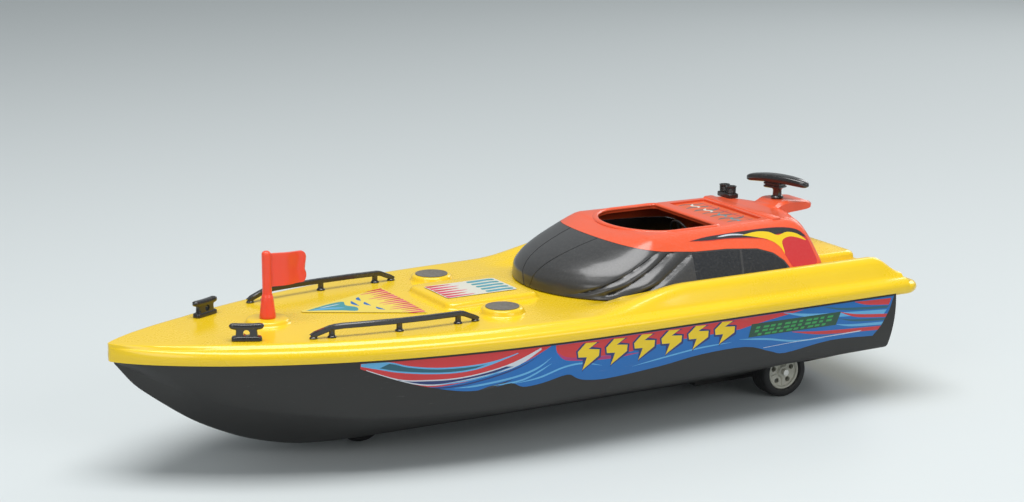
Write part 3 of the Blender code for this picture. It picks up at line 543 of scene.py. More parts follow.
def film_piece(name, bm, outward, drop):
    """Turns a film's printed face outwards, and presses its rim down to what it is stuck on."""
    outward = Vector(outward)
    bm.normal_update()
    if sum(face.normal.dot(outward) * face.calc_area() for face in bm.faces) < 0:
        bmesh.ops.reverse_faces(bm, faces=bm.faces)
        bm.normal_update()
    rim = [edge for edge in bm.edges if edge.is_boundary]
    grown = bmesh.ops.extrude_edge_only(bm, edges=rim)["geom"]
    for vert in (item for item in grown if isinstance(item, bmesh.types.BMVert)):
        vert.co -= outward * drop
    return piece_from(name, bm)


def on_hull(side):
    """Lays (x, z) points just proud of the hull's side."""
    def place(x, z):
        _, y, _ = hull_side(x, z, 0.14)
        return (x, side * y, z)
    return place


SHEET_TOP, FORE_END, AFT_END = 52.7, 98.8, -177.6
WAVE_EDGE = [(98.9, 50.4), (82.6, 43.9), (69.9, 39.9), (56.8, 36.8), (48, 35.9), (40, 36.4), (31.2, 37.6),
             (25.2, 35.1), (16, 35.8), (3.9, 38.2), (-1.3, 35.8), (-6.6, 34.1), (-18.7, 33.3), (-45.7, 35.3),
             (-67.1, 38), (-92.1, 38.3), (-107.3, 33.8), (-116.5, 31.7), (-142, 34.7), (-167.4, 33.4)]
side_sheet = ([(x, SHEET_TOP) for x in spread(FORE_END, AFT_END, 40)] + [(-175, 46), (-171, 38)]
              + curve_through(WAVE_EDGE, 4)[::-1])
fore_field = curve_through([(12.4, 52.5), (17.7, 50), (26, 46.6), (40.5, 42.8), (57.1, 40.1), (69.9, 39.9),
                            (82.6, 43.9), (98.9, 50.4)], 4)
side_shapes = [(side_sheet, "blue"),
               ([(x, SHEET_TOP) for x in spread(FORE_END, 12.4, 20)] + fore_field, "red"),
               (brush([(52, 34.4), (42, 36.4), (31.0, 39.2)], 2.0, 0.6), "ground")]

# Two sickle-shaped arcs on the red field, each a pale edge round a dark core
ARCS = [
    ([(98.6, 52.6), (86.7, 52.6), (78.5, 50.3), (65.9, 48.4), (52.1, 48), (39.7, 48.9), (28.3, 51.4)],
     [(28.3, 51.0), (45, 46.4), (57.3, 45.2), (70.1, 45.9), (82.7, 47.6), (90.9, 49.5), (98.7, 51.4)],
     "light", "teal", 0.7),
    ([(96.5, 49.8), (82.6, 44.6), (70, 43.2), (57.2, 42.9), (44.1, 44.3), (30.6, 47.3), (17.2, 52.4)],
     [(17.0, 51.6), (27.8, 45.8), (39.6, 42.9), (57.1, 40.7), (69.9, 40.5), (83.4, 44.0), (96.5, 49.5)],
     "white", "navy", 0.55)]
for top, bottom, edge_ink, core_ink, margin in ARCS:
    upper, lower = curve_through(top, 4), curve_through(bottom, 4)
    core = [(x, z - margin) for x, z in upper[4:-5]] + [(x, z + margin) for x, z in lower[5:-4]]
    side_shapes += [(upper + lower, edge_ink), (core, core_ink)]

# Thin streaks along the wave, then the red field under the bolts with its magenta edge
side_shapes += strokes([
    ([(84, 43.4), (70, 39.5), (57, 39.0), (41, 41.4), (27, 45.0), (17, 49.6)], 0.7, "navy"),
    ([(66, 40.6), (55, 40.9), (42, 42.6), (30, 45.8)], 0.6, "light"),
    ([(30, 37.2), (18, 38.6), (6, 42.0), (-4, 42.6), (-14, 40.2)], 0.8, "light"),
    ([(-30, 37.4), (-48, 39.6), (-66, 41.4), (-84, 41.8)], 0.7, "light"),
    ([(-88, 42.6), (-104, 40.6), (-120, 37.4), (-138, 36.4)], 0.9, "light"),
    ([(58, 38.2), (48.2, 38.2), (30.3, 40.2), (19.4, 43.1), (12.1, 47.4)], 0.9, "light"),
    ([(39.9, 37.4), (25.6, 38.6), (12, 44.6)], 0.8, "light")])
bolt_field = curve_through([(9.8, 52.6), (9.6, 50.0), (7.0, 47.4), (1.0, 45.8), (-7.0, 45.3), (-23.1, 44.6),
                            (-50.2, 46.9), (-83.9, 47.4), (-94.1, 48.6), (-106.8, 50.3), (-124.3, 52.4)], 4)
side_shapes.append((bolt_field + [(x, 52.6) for x in spread(-120, 6, 14)], "red"))
side_shapes += strokes([([(9.6, 49.6), (5.0, 46.0), (-5.4, 44.5), (-20, 43.6), (-34, 43.8)], 1.5, "magenta")])

# Slanted stripes that run aft and widen, each from (station, height) to its aft edge's two heights
STRIPE_ENDS = {"red": -176.0, "teal": -174.8, "light": -173.4, "white": -160.0}
for x, z, aft_top, aft_low, tint in ((-154.2, 52.6, 51.8, 48.7, "red"), (-136.2, 52.3, 48.2, 47.0, "teal"),
                                     (-112.6, 52.5, 46.4, 44.4, "light"), (-145.8, 48.6, 43.9, 42.4, "red"),
                                     (-144.9, 45.6, 42.0, 40.9, "teal"), (-144.1, 42.7, 40.2, 38.8, "light"),
                                     (-118.3, 42.4, 38.0, 36.0, "red"), (-102.7, 36.4, 37.5, 36.9, "white")):
    aft = STRIPE_ENDS[tint]
    bend = (2 * x + aft) / 3
    upper = curve_through([(x, z), (bend, z + (aft_top - z) * 0.5), (aft, aft_top)], 5)
    lower = curve_through([(aft + 1.5, aft_low), (bend, z + (aft_low - z) * 0.62), (x, z - 0.25)], 5)
    side_shapes.append((upper + lower, tint))

# Green dashes on a dark field
DASH_PITCH, DASH_HEIGHT, DASH_LEAN = 4.1, 1.0, 0.5
side_shapes.append(([(-93.0, 42.8), (-94.5, 49.2), (-146.0, 48.8), (-143.5, 42.4)], "dark green"))
for row, (height, first, count) in enumerate(((47.6, -97.5, 11), (45.9, -96.8, 11), (44.2, -98.5, 10))):
    for i in range(count):
        x = first - DASH_PITCH * i
        tail = x - (2.1 + 1.1 * ((i * 5 + row * 3) % 3) / 2)
        foot = height - DASH_HEIGHT
        dash = [(x, height), (tail, height), (tail + DASH_LEAN, foot), (x + DASH_LEAN, foot)]
        side_shapes.append((dash, "green"))


def bolt(path, width):
    """A lightning bolt: two tapering strokes joined by a short bar."""
    (ax, az), (bx, bz), (cx, cz), (dx, dz) = path
    w = width / 2
    return [(ax - w * 1.5, az), (ax + w * 1.5, az + 0.3), (bx + w, bz + 0.5 * w),
            (bx + 0.8 * w, bz - 0.8 * w), (cx + 2.2 * w, cz - w), (dx + 0.4, dz - w), (dx - 0.4, dz - w * 0.6),
            (cx - w, cz - w), (cx - 1.1 * w, cz + 0.5 * w), (bx - 1.8 * w, bz + 0.9 * w)]


BOLTS, BOLT_PITCH = 6, 14.6
bolt_paths = []
for i in range(BOLTS):
    x, z = -6.5 - BOLT_PITCH * i, 51.6 + 0.1 * i
    bolt_paths.append([(x - 1.5, z), (x + 3.6, 47.2 + 0.2 * i), (x - 3.4, 47.2 + 0.25 * i),
                       (x + 2.4, 41.2 + 0.45 * i)])
for width, tint in ((5.8, "navy"), (3.9, "yellow")):
    side_shapes += [(bolt(path, width), tint) for path in bolt_paths]

vinyl = finish("printed_vinyl", (0.1, 0.1, 0.1), roughness=0.36, uneven=0.05, grain=1500.0, relief=0.006,
               scuffs=0.4, dust=0.03, ink="ink", coat=0.15)
for side, word in SIDES:
    sticker = film(side_sheet, side_shapes, on_hull(side))
    sticker = film_piece(f"side_sticker_{word}", sticker, (0, side, 0), 0.22)
    placed(sticker, vinyl, "boat", "black_hull_plastic")


# ---------------------------------------------------------------- screws
# Plated steel pan-head screws with a cross recess: five are driven up through the hull into the
# posts of the deck, and two shorter ones hold the ears of the gearbox case to the keel.

def turned(profile, centre, axis="Y", count=64, bm=None):
    """A profile of (radius, along) points turned about an axis through the centre."""
    bm = bm or bmesh.new()
    cx, cy, cz = centre
    rows = []
    for radius, along in profile:
        row = []
        for i in range(count if radius > 0.001 else 1):
            u = radius * math.cos(2 * math.pi * i / count)
            v = radius * math.sin(2 * math.pi * i / count)
            place = (cx + u, cy + along, cz + v) if axis == "Y" else (cx + u, cy + v, cz + along)
            row.append(bm.verts.new(place))
        rows.append(row)
    for near, far in zip(rows, rows[1:]):
        for i in range(count):
            j = (i + 1) % count
            ring = [near[i % len(near)], near[j % len(near)], far[j % len(far)], far[i % len(far)]]
            ring = [v for k, v in enumerate(ring) if v not in ring[:k]]
            if len(ring) > 2:
                bm.faces.new(ring)
    return bm


def pan_screw(name, x, y, head, tip, head_r, shank_r):
    """A pan-head screw along Z, with thread ridges on its shank and a cross recess in its head."""
    way = 1 if tip > head else -1
    profile = [(0, 0), (head_r * 0.6, 0), (head_r * 0.9, 0.25), (head_r, 0.75), (head_r, 1.3),
               (head_r * 0.97, 1.5), (shank_r, 1.5), (shank_r, 2.2)]
    at, length = 2.2, abs(tip - head)
    while at < length - 2.0:
        profile += [(shank_r, at), (shank_r * 1.28, at + 0.35), (shank_r, at + 0.7)]
        at += 1.0
    profile += [(shank_r, length - 1.2), (0, length)]
    item = made(name, turned([(r, way * a) for r, a in profile], (x, y, head), "Z", 32))
    cross = [block(x - a, x + a, y - b, y + b, head - 1.0, head + 1.0, 0.1) for a, b in
             ((head_r * 0.55, head_r * 0.13), (head_r * 0.13, head_r * 0.55))]
    return carve(item, cross)


POST_TIP, BOW_HEAD, HULL_HEAD = 46.7, 27.1, 18.1
steel = finish("plated_steel", (0.62, 0.61, 0.58), roughness=0.26, uneven=0.08, grain=3000.0, relief=0.008,
               scuffs=0.5, dust=0.03, metallic=1.0)
for number, (x, y) in enumerate(SCREW_SPOTS, 1):
    name = f"hull_screw_{number}"
    screw = pan_screw(name + "_detailed", x, y, BOW_HEAD if number == 1 else HULL_HEAD, POST_TIP, 2.6, 1.15)
    placed(screw, steel, "boat", "plated_steel", name)
for number, y in enumerate((3.9, -3.9), 1):
    name = f"gearbox_screw_{number}"
    screw = pan_screw(name + "_detailed", -96.8, y, 16.1, 8.1, 2.0, 0.95)
    placed(screw, steel, "boat", "plated_steel", name)


# ---------------------------------------------------------------- wheels
# Soft black rubber tyres with a grooved tread, pressed on pale moulded hubs with a dished face,
# a raised boss, ribs and five holes. The rear pair is fixed to a steel axle, the front turns freely.

def instanced(name, host, stamp, finish_material):
    """Geometry Nodes: a stamp mesh set on every vertex of a host mesh, by its turn attribute."""
    tree = bpy.data.node_groups.new(name, "GeometryNodeTree")
    tree.interface.new_socket("Geometry", in_out="INPUT", socket_type="NodeSocketGeometry")
    stamp_socket = tree.interface.new_socket("Stamp", in_out="INPUT", socket_type="NodeSocketObject")
    material_socket = tree.interface.new_socket("Finish", in_out="INPUT", socket_type="NodeSocketMaterial")
    tree.interface.new_socket("Geometry", in_out="OUTPUT", socket_type="NodeSocketGeometry")
    start, end = tree.nodes.new("NodeGroupInput"), tree.nodes.new("NodeGroupOutput")
    scatter = tree.nodes.new("GeometryNodeInstanceOnPoints")
    fetch = tree.nodes.new("GeometryNodeObjectInfo")
    turn = tree.nodes.new("GeometryNodeInputNamedAttribute")
    turn.data_type = "FLOAT_VECTOR"
    turn.inputs["Name"].default_value = "turn"
    real = tree.nodes.new("GeometryNodeRealizeInstances")
    paint = tree.nodes.new("GeometryNodeSetMaterial")
    for source, target in ((start.outputs["Geometry"], scatter.inputs["Points"]),
                           (start.outputs["Stamp"], fetch.inputs["Object"]),
                           (fetch.outputs["Geometry"], scatter.inputs["Instance"]),
                           (turn.outputs["Attribute"], scatter.inputs["Rotation"]),
                           (scatter.outputs["Instances"], real.inputs["Geometry"]),
                           (real.outputs["Geometry"], paint.inputs["Geometry"]),
                           (start.outputs["Finish"], paint.inputs["Material"]),
                           (paint.outputs["Geometry"], end.inputs["Geometry"])):
        tree.links.new(source, target)
    modifier = host.modifiers.new(name, "NODES")
    modifier.node_group = tree
    modifier[stamp_socket.identifier] = stamp
    modifier[material_socket.identifier] = finish_material
    host.update_tag()
    mesh = bpy.data.meshes.new_from_object(host.evaluated_get(bpy.context.evaluated_depsgraph_get()))
    host.modifiers.remove(modifier)
    bpy.data.objects.remove(stamp)
    bpy.data.objects.remove(host)
    return added(name, mesh)


def points_host(spots):
    """Loose vertices from (place, turn) pairs, for instanced()."""
    mesh = bpy.data.meshes.new("spots")
    mesh.from_pydata([tuple(c * MM for c in place) for place, _ in spots], [], [])
    attribute = mesh.attributes.new("turn", "FLOAT_VECTOR", "POINT")
    for point, (_, turn) in zip(attribute.data, spots):
        point.vector = turn
    return added("spots", mesh)


def join_into(item, others):
    """Adds other pieces' meshes to a piece as further shells."""
    bm = bmesh.new()
    bm.from_mesh(item.data)
    for other in others:
        bm.from_mesh(other.data)
        bpy.data.objects.remove(other)
    bmesh.ops.recalc_face_normals(bm, faces=bm.faces)
    bm.to_mesh(item.data)
    bm.free()
    smooth(item.data)
    return item


BEAD_R, HUB_R, HUB_HOLES = 8.85, 8.68, 5


def mirrored(profile):
    """A closed profile of (radius, along) points from its half on the plus side."""
    return profile + [(radius, -along) for radius, along in reversed(profile)] + profile[:1]


def tyre(name, centre, half):
    """A tyre with round shoulders, five tread grooves and a bead lip on each side."""
    groove = 0.28
    shoulder = [(BEAD_R, half * 0.86), (9.3, half * 0.97), (10.2, half), (11.3, half * 0.97),
                (12.0, half * 0.9), (12.38, half * 0.8)]
    tread = []
    for k in range(2, -3, -1):
        at = k * half * 0.3
        tread += [(WHEEL_R, at + 0.42), (WHEEL_R - groove, at + 0.26), (WHEEL_R - groove, at - 0.26),
                  (WHEEL_R, at - 0.42)]
    outline = shoulder + tread + [(radius, -along) for radius, along in reversed(shoulder)]
    return made(name, turned(outline + outline[:1], centre, "Y", 96))


def hub(name, centre, half, way):
    """A dished hub: rim, five holes through its web, ribs between them and a stepped boss."""
    x, y, z = centre
    web, back_web = half - 2.0, half - 4.2
    face = [(0, half - 1.0), (1.4, half - 1.0), (1.7, half - 0.7), (2.6, half - 0.7), (2.9, half - 1.1),
            (3.3, web), (7.0, web), (7.4, half - 1.7), (7.5, half - 0.9), (7.75, half - 0.7),
            (8.4, half - 0.7), (HUB_R, half - 0.95)]
    back = [(HUB_R, 1.0 - half), (7.4, 1.0 - half), (7.2, 1.6 - half), (7.1, back_web), (3.0, back_web),
            (2.8, 0.9 - half), (0, 0.9 - half)]
    item = made(name, turned([(r, way * a) for r, a in face + back], centre, "Y", 80))
    hole_turns = [math.radians(90 + 72 * i) for i in range(HUB_HOLES)]
    carve(item, [peg("Y", (x + 5.4 * math.cos(angle), z + 5.4 * math.sin(angle)), 1.3, y - 9, y + 9, 24)
                 for angle in hole_turns])
    rib_turns = [math.radians(54 + 72 * i) for i in range(HUB_HOLES)]
    spots = [((x + 5.2 * math.cos(angle), y + way * web, z + 5.2 * math.sin(angle)), (0, -angle, 0))
             for angle in rib_turns]
    rib_plan = plan_box(-2.15, 2.15, -0.28, 0.28, 0.2, 3)
    rib = made("rib", lofted([[(u, v, w) for u, w in rib_plan] for v in (-0.35, 0.3, 0.42)]))
    return join_into(item, [instanced(name + "_ribs", points_host(spots), rib, pale_hub)])


rubber = finish("tyre_rubber", (0.021, 0.021, 0.022), roughness=0.72, uneven=0.12, grain=1300.0, relief=0.05,
                scuffs=0.2, dust=0.16)
pale_hub = finish("pale_hub_plastic", (0.56, 0.55, 0.47), roughness=0.38, uneven=0.05, grain=2000.0,
                  relief=0.02, scuffs=0.3, dust=0.08)
for side, word in SIDES:
    middle = (REAR_X, 33.3 * side, WHEEL_R)
    placed(tyre(f"rear_tyre_{word}_detailed", middle, 6.2), rubber, "rear_axle", "black_tyre",
           f"rear_tyre_{word}")
    placed(hub(f"rear_hub_{word}_detailed", middle, 5.6, side), pale_hub, "rear_axle", "pale_hub_plastic",
           f"rear_hub_{word}")
middle = (FRONT_X, 0, WHEEL_R)
placed(tyre("front_tyre_detailed", middle, 3.6), rubber, "front_wheel", "black_tyre", "front_tyre")
front_face = [(1.5, 3.0), (2.6, 3.0), (3.0, 2.2), (7.2, 2.0), (7.6, 2.6), (8.5, 2.6), (HUB_R, 2.3)]
front_hub = made("front_hub_detailed", turned(mirrored(front_face), middle, "Y", 80))
placed(front_hub, pale_hub, "front_wheel", "pale_hub_plastic", "front_hub")


# ---------------------------------------------------------------- axles, gears and gearbox
# Steel pins, white nylon spur gears, a turned steel flywheel and a two-part black gearbox case: the
# friction drive, closed in between the rear wheels. Their shapes are those of the frame.

nylon = finish("white_nylon", (0.70, 0.69, 0.64), roughness=0.45, uneven=0.04, grain=1600.0, relief=0.02,
               scuffs=0.2, dust=0.05)
case_black = finish("gearbox_case_plastic", (0.035, 0.034, 0.033), roughness=0.5, uneven=0.08, grain=1500.0,
                    relief=0.05, scuffs=0.25, dust=0.1)
turned_steel = finish("turned_steel", (0.5, 0.49, 0.47), roughness=0.34, uneven=0.1, grain=2600.0,
                      relief=0.01, scuffs=0.5, dust=0.05, metallic=1.0)
for material, names in ((nylon, ("axle_gear", "idler_gear", "flywheel_pinion")),
                        (turned_steel, ("flywheel",)),
                        (steel, ("rear_axle", "front_axle", "idler_shaft", "flywheel_shaft")),
                        (case_black, ("gearbox_case_port", "gearbox_case_starboard"))):
    for name in names:
        nodes[name].data.materials.clear()
        nodes[name].data.materials.append(material)


# ---------------------------------------------------------------- deck
# One glossy yellow moulding that closes the hull: a rounded rim band, a step up to the ridges beside
# the cabin, a flat foredeck with its hatch, bosses and pad, an engine cover and a stern platform.

# The section in from the edge: (in, height) points of the rim, then (in, height on the foredeck,
# height beside the cabin) points of the step and the ridge
DECK_RIM = [(-0.4, 53.8), (0.0, 54.6), (0.3, 56.2), (0.1, 57.6), (-0.7, 58.9), (-2.0, 59.7), (-3.6, 60.05)]
DECK_STEP = [(-4.8, 60.1, 60.6), (-5.3, 60.45, 61.4), (-5.9, 61.2, 62.5), (-6.8, 61.6, 64.7),
             (-8.0, DECK, 67.5), (-9.2, DECK, 69.1), (-10.6, DECK, 69.95), (-12.4, DECK, 70.2),
             (-15.5, DECK, 69.6), (-19.0, DECK, 67.7), (-24.0, DECK, 67.2), (-26.5, DECK, DECK)]
RIDGE_START, RIDGE_RISE, RIDGE_STERN, RIDGE_FALL = -12, 54, -188, 16
NARROW_BOW = 34


def deck_section(x):
    """Half of the deck's outer section, from the rim's foot to the centre line."""
    beam = half_beam(x)
    narrow = min(1.0, beam / NARROW_BOW)
    high = ease((RIDGE_START - x) / RIDGE_RISE) * ease((x - RIDGE_STERN) / RIDGE_FALL)
    half = [(beam + dy * (narrow if dy < 0 else 1), z) for dy, z in DECK_RIM]
    half += [(max(0.15, beam + dy * narrow), flat + (tall - flat) * high) for dy, flat, tall in DECK_STEP]
    edge = half[-1][0]
    half += [(edge * share, DECK) for share in (0.8, 0.6, 0.4, 0.2)]
    return half


def deck_ring(x, wall=0.0):
    """The whole section at a station, or the face under it; there the ridge's inner side moves in."""
    ridge_foot = len(DECK_RIM) + len(DECK_STEP) - 2
    half = []
    for i, (y, z) in enumerate(deck_section(x)):
        moved = wall if i in (ridge_foot, ridge_foot + 1) else -wall
        half.append((max(0.1, y + moved), z - (wall if i else 0)))
    return [(x, y, z) for y, z in half] + [(x, 0.0, DECK - wall)] + [(x, -y, z) for y, z in reversed(half)]


# The cabin's outline level by level: height, nose, half width, rear corner and bow of the back
CABIN_RINGS = [(62, -13, 52.3, -152.5, 1.5), (67.5, -13.4, 50.9, -152.3, 2), (72, -16, 47.7, -151.8, 2.5),
               (77, -23, 43.6, -151.2, 3.5), (81.5, -33.5, 39.8, -150.2, 5), (84.6, -43, 37, -148.8, 6.5),
               (86.5, -51, 34.6, -147, 7.5), (87.3, -57, 32.5, -144.5, 9)]
WIDEST, WAIST, REAR_TUCK, CORNER = -61.0, -100.0, 3, 6.0


def cabin_values(z):
    """Nose, half width, rear corner and bow of the cabin at a height."""
    return [between([(ring[0], ring[k]) for ring in CABIN_RINGS], z) for k in (1, 2, 3, 4)]


def cabin_side_y(x, z):
    """Half width of the cabin's plan outline at a station and height."""
    nose, half, rear, _ = cabin_values(z)
    if x >= WIDEST:
        share = min(1.0, (x - WIDEST) / (nose - WIDEST))
        return half * math.sqrt(max(0.0, 1 - share * share))
    return between([(rear, half - REAR_TUCK), (WAIST, half - 1), (WIDEST, half)], x)


FLUTES, FLUTE_SLANT = [-22.5, -31.0, -46.0], 2.2


def flute_depth(x, z):
    """How far the canopy's side is drawn in at its slanted creases; it swells out between them."""
    along = x + FLUTE_SLANT * (z - 64)
    fade = ease((z - 62.6) / 3) * ease((83.5 - z) / 5) * ease((x + 84) / 12)
    for fore, aft in zip(FLUTES, FLUTES[1:]):
        if aft <= along <= fore:
            share = (fore - along) / (fore - aft)
            return fade * (0.6 + 0.075 * (fore - aft)) * (1 - math.sin(math.pi * share) ** 0.9)
    if along > FLUTES[0]:
        return fade * 1.2 * math.exp((FLUTES[0] - along) / 0.9)
    return fade * 1.7 * math.exp((along - FLUTES[-1]) / 2.5)


def cabin_ring(z, inset=0.0, fluted=False):
    """One level of the cabin: a bowed back, rounded rear corners, sides and nose, drawn in by inset."""
    nose, half, rear, bow = cabin_values(z)
    edge = half - REAR_TUCK - CORNER
    port = [(rear - bow * (1 - share ** 2) * 0.9, edge * share) for share in reversed(spread(0.85, 0, 6))]
    for i in range(7, 0, -1):
        angle = math.pi / 2 * i / 7
        port.append((rear + CORNER - CORNER * math.sin(angle), edge + CORNER * math.cos(angle)))
    port += [(x, cabin_side_y(x, z)) for x in spread(rear + CORNER, WIDEST - 1.0, 80)]
    for angle in [math.pi / 2 * (1 - i / 90) for i in range(90)] + [0.0]:
        port.append((WIDEST + (nose - WIDEST) * math.cos(angle), half * math.sin(angle)))
    ahead = port[1:] + [(port[-2][0], -port[-2][1])]
    behind = [(port[1][0], -port[1][1])] + port[:-1]
    drawn = []
    for (x, y), (ax, ay), (bx, by) in zip(port, behind, ahead):
        pull = inset
        if fluted and y > 0.5:
            pull += flute_depth(x, z) * ease(y / 14)
        size = math.hypot(bx - ax, by - ay) or 1
        drawn.append((x + (by - ay) / size * pull, max(0.0, y - (bx - ax) / size * pull)))
    return [(x, y, z) for x, y in drawn] + [(x, -y, z) for x, y in drawn[-2:0:-1]]


deck_x = (spread(-186, -36, 62) + spread(-33, 150, 60) + spread(152.5, 186, 15)
          + [188.5, 190.5, 192, 193, 193.6])
deck = made("deck", lofted([deck_ring(x) for x in deck_x]))
under_rings = []
for x in deck_x[4:-9]:
    ring = deck_ring(x, WALL)
    under_rings.append([(x, ring[0][1], 50)] + ring[1:-1] + [(x, ring[-1][1], 50)])
cabin_clearance = made("tool", lofted([cabin_ring(z, -0.35) for z in (61.9, 64, 66, 68, 70, 72)]))
carve(deck, [made("tool", lofted(under_rings)), block(-136, -44, -40, 40, 50, 75, 6), cabin_clearance])

hatch_steps = ((-0.6, 61.3), (0, 61.75), (0.5, 62.1), (0.8, 62.8), (1.1, 63.6), (1.6, 64.2), (2.3, 64.55),
               (3.2, 64.7))
boss_steps = ((11.3, 61.4), (10.6, 61.8), (10.1, 62.4), (9.8, 63.4), (9.4, 64.1), (8.9, 64.45), (8.5, 64.5))
pad_steps = ((11.2, 61.4), (10.3, 61.85), (9.9, 62.4), (9.6, 63.1), (9.1, 63.55), (8.4, 63.7))
cover_steps = ((0, 61.2), (0.5, 62.2), (1.0, 67.6), (1.5, 68.5), (2.4, 69.1), (3.6, 69.3))
platform_steps = ((2.6, 51.5), (1.2, 51.8), (0.3, 52.8), (0, 54.0), (0.3, 55.3), (1.1, 56.2), (2.4, 56.6))
BOSS_X, BOSS_Y, POLE_X = 19.5, 35.5, 119.3
extras = [raised("hatch", [(plan_box(-9.4 + s, 40.4 - s, s - 22.4, 22.4 - s, 4.5), z)
                           for s, z in hatch_steps])]
extras += [raised("boss", [(disc_plan(BOSS_X, BOSS_Y * side, r), z) for r, z in boss_steps])
           for side in (1, -1)]
extras.append(raised("pad", [(disc_plan(POLE_X, 0, r), z) for r, z in pad_steps]))
extras.append(raised("engine_cover", [(plan_box(-177 + s, -145 - s, s - 41.5, 41.5 - s, 4.0), z)
                                      for s, z in cover_steps]))
extras.append(raised("platform", [(plan_box(-198 + s, -158 - s, s - 67, 67 - s, 10 - s * 0.8, 10), z)
                                  for s, z in platform_steps]))
stern_slope = []
for x, top in ((-196.4, 56.0), (-194, 57.0), (-190, 58.3), (-186.5, 59.3), (-182, 60.2)):
    edge = 66.2 + (x + 182) * 0.36
    half = [(edge, 54), (edge, top - 1.6), (edge - 0.5, top - 0.6), (edge - 1.9, top)]
    stern_slope.append([(x, y, z) for y, z in half + [(0, top)] + [(-y, z) for y, z in reversed(half)]])
extras.append(made("stern_slope", lofted(stern_slope)))
extras += [made("post", turned([(0, 37), (3.6, 37), (3.6, 60.6), (0, 60.6)], (x, y, 0), "Z", 32))
           for x, y in SCREW_SPOTS]
join_into(deck, extras)
yellow_gloss = finish("yellow_gloss_plastic", (0.90, 0.60, 0.0), roughness=0.27, uneven=0.04, grain=900.0,
                      relief=0.008, scuffs=0.3, dust=0.035, coat=0.4)
placed(deck, yellow_gloss, "boat", "yellow_plastic", "deck_shell")


# ---------------------------------------------------------------- cockpit
# A black moulded tub hung in the deck's opening, with a bench and a dash moulded in one piece, and a
# small three-spoke steering wheel that turns on the dash.

def slab(name, outline, y0, y1, bevel=0.5):
    """A side-view outline of (x, z) points, extruded along Y with chamfered ends."""
    cx = sum(p[0] for p in outline) / len(outline)
    cz = sum(p[1] for p in outline) / len(outline)
    rings = []
    for y, pull in ((y0, bevel), (y0 + bevel, 0), (y1 - bevel, 0), (y1, bevel)):
        ring = []
        for x, z in outline:
            reach = math.hypot(x - cx, z - cz) or 1
            ring.append((x - (x - cx) / reach * pull, y, z - (z - cz) / reach * pull))
        rings.append(ring)
    return made(name, lofted(rings))


def tub_plan(grow, radius):
    """The tub's outline, wider than the deck's opening by grow."""
    return plan_box(-136 - grow, -44 + grow, -40 - grow, 40 + grow, radius)


tub_levels = [(tub_plan(-0.4, 5.6), z) for z in (50, 62.0)]
tub_levels += [(tub_plan(2.6, 8.4), z) for z in (62.05, 62.7, 63.1)]
tub_levels += [(tub_plan(1.9, 7.8), 63.2), (tub_plan(-1.4, 4.6), 63.2), (tub_plan(-1.9, 4.2), 62.6),
               (tub_plan(-1.9, 4.2), 52.2), (tub_plan(-2.6, 3.6), 51.5)]
tub = raised("cockpit_tub_detailed", tub_levels)
bench_side = [(-134.2, 51.4), (-122.4, 51.4), (-121.9, 52.5), (-121.9, 58.6), (-122.6, 59.7), (-124, 60),
              (-130.6, 60.1), (-131.8, 61.2), (-132.4, 69.2), (-133, 69.9), (-134, 69.9), (-134.4, 69.2)]
cushion_side = [(-130.8, 59.7), (-123.2, 59.7), (-122.8, 60.5), (-124, 61.0), (-130, 61.0), (-131, 60.6)]
dash_side = [(-101, 51.4), (-89, 51.4), (-90.4, 60), (-92, 69), (-92.8, 70.4), (-98.4, 72.7), (-99.6, 72.8),
             (-103.4, 71.6), (-103.7, 70.8), (-102, 60)]
gauge_side = [(-101.5, 71.8), (-95.6, 71.2), (-95.3, 72.2), (-98.2, 73.0), (-101, 73.0)]
furniture = [slab("bench", bench_side, -34, 34, 0.9)]
cushion_middles = [-25.6 + 12.8 * i for i in range(5)]
furniture += [slab("cushion", cushion_side, y - 5.6, y + 5.6, 0.7) for y in cushion_middles]
furniture.append(slab("dash", dash_side, -24, 8, 0.7))
furniture += [slab("gauge", gauge_side, y - 2.1, y + 2.1, 0.4) for y in (-19.5, 3.5)]
join_into(tub, furniture)
black_trim = finish("black_trim_plastic", (0.022, 0.021, 0.021), roughness=0.36, uneven=0.08, grain=1700.0,
                    relief=0.04, scuffs=0.35, dust=0.06)
placed(tub, black_trim, "boat", "black_trim_plastic", "cockpit_tub")


def swept(name, path, section, closed=False, crease=35):
    """A section of (u, v) points drawn along a path; v stays as near upright as the path allows."""
    rings = []
    for i, place in enumerate(path):
        before = Vector(path[i - 1]) if (i or closed) else Vector(place)
        after = Vector(path[(i + 1) % len(path)]) if (i + 1 < len(path) or closed) else Vector(place)
        ahead = (after - before).normalized()
        sideways = ahead.cross(Vector((0, 0, 1))).normalized()
        up = sideways.cross(ahead).normalized()
        rings.append([tuple(Vector(place) + sideways * u + up * v) for u, v in section])
    if closed:
        rings.append(rings[0])
    return made(name, lofted(rings, caps=not closed), crease)


def oval(half_u, half_v, count=16):
    """An oval section."""
    turns = [2 * math.pi * i / count for i in range(count)]
    return [(half_u * math.cos(angle), half_v * math.sin(angle)) for angle in turns]


WHEEL_HUB, WHEEL_LEAN = Vector((-106, -8, 74)), (0.92718, 0.37461)
wheel_axis = Vector((-WHEEL_LEAN[0], 0, WHEEL_LEAN[1]))
wheel_up = Vector((WHEEL_LEAN[1], 0, WHEEL_LEAN[0]))


def on_wheel(u, v, w):
    """A point from its places in the steering wheel's plane and along its axis."""
    return tuple(WHEEL_HUB + Vector((0, 1, 0)) * u + wheel_up * v + wheel_axis * w)


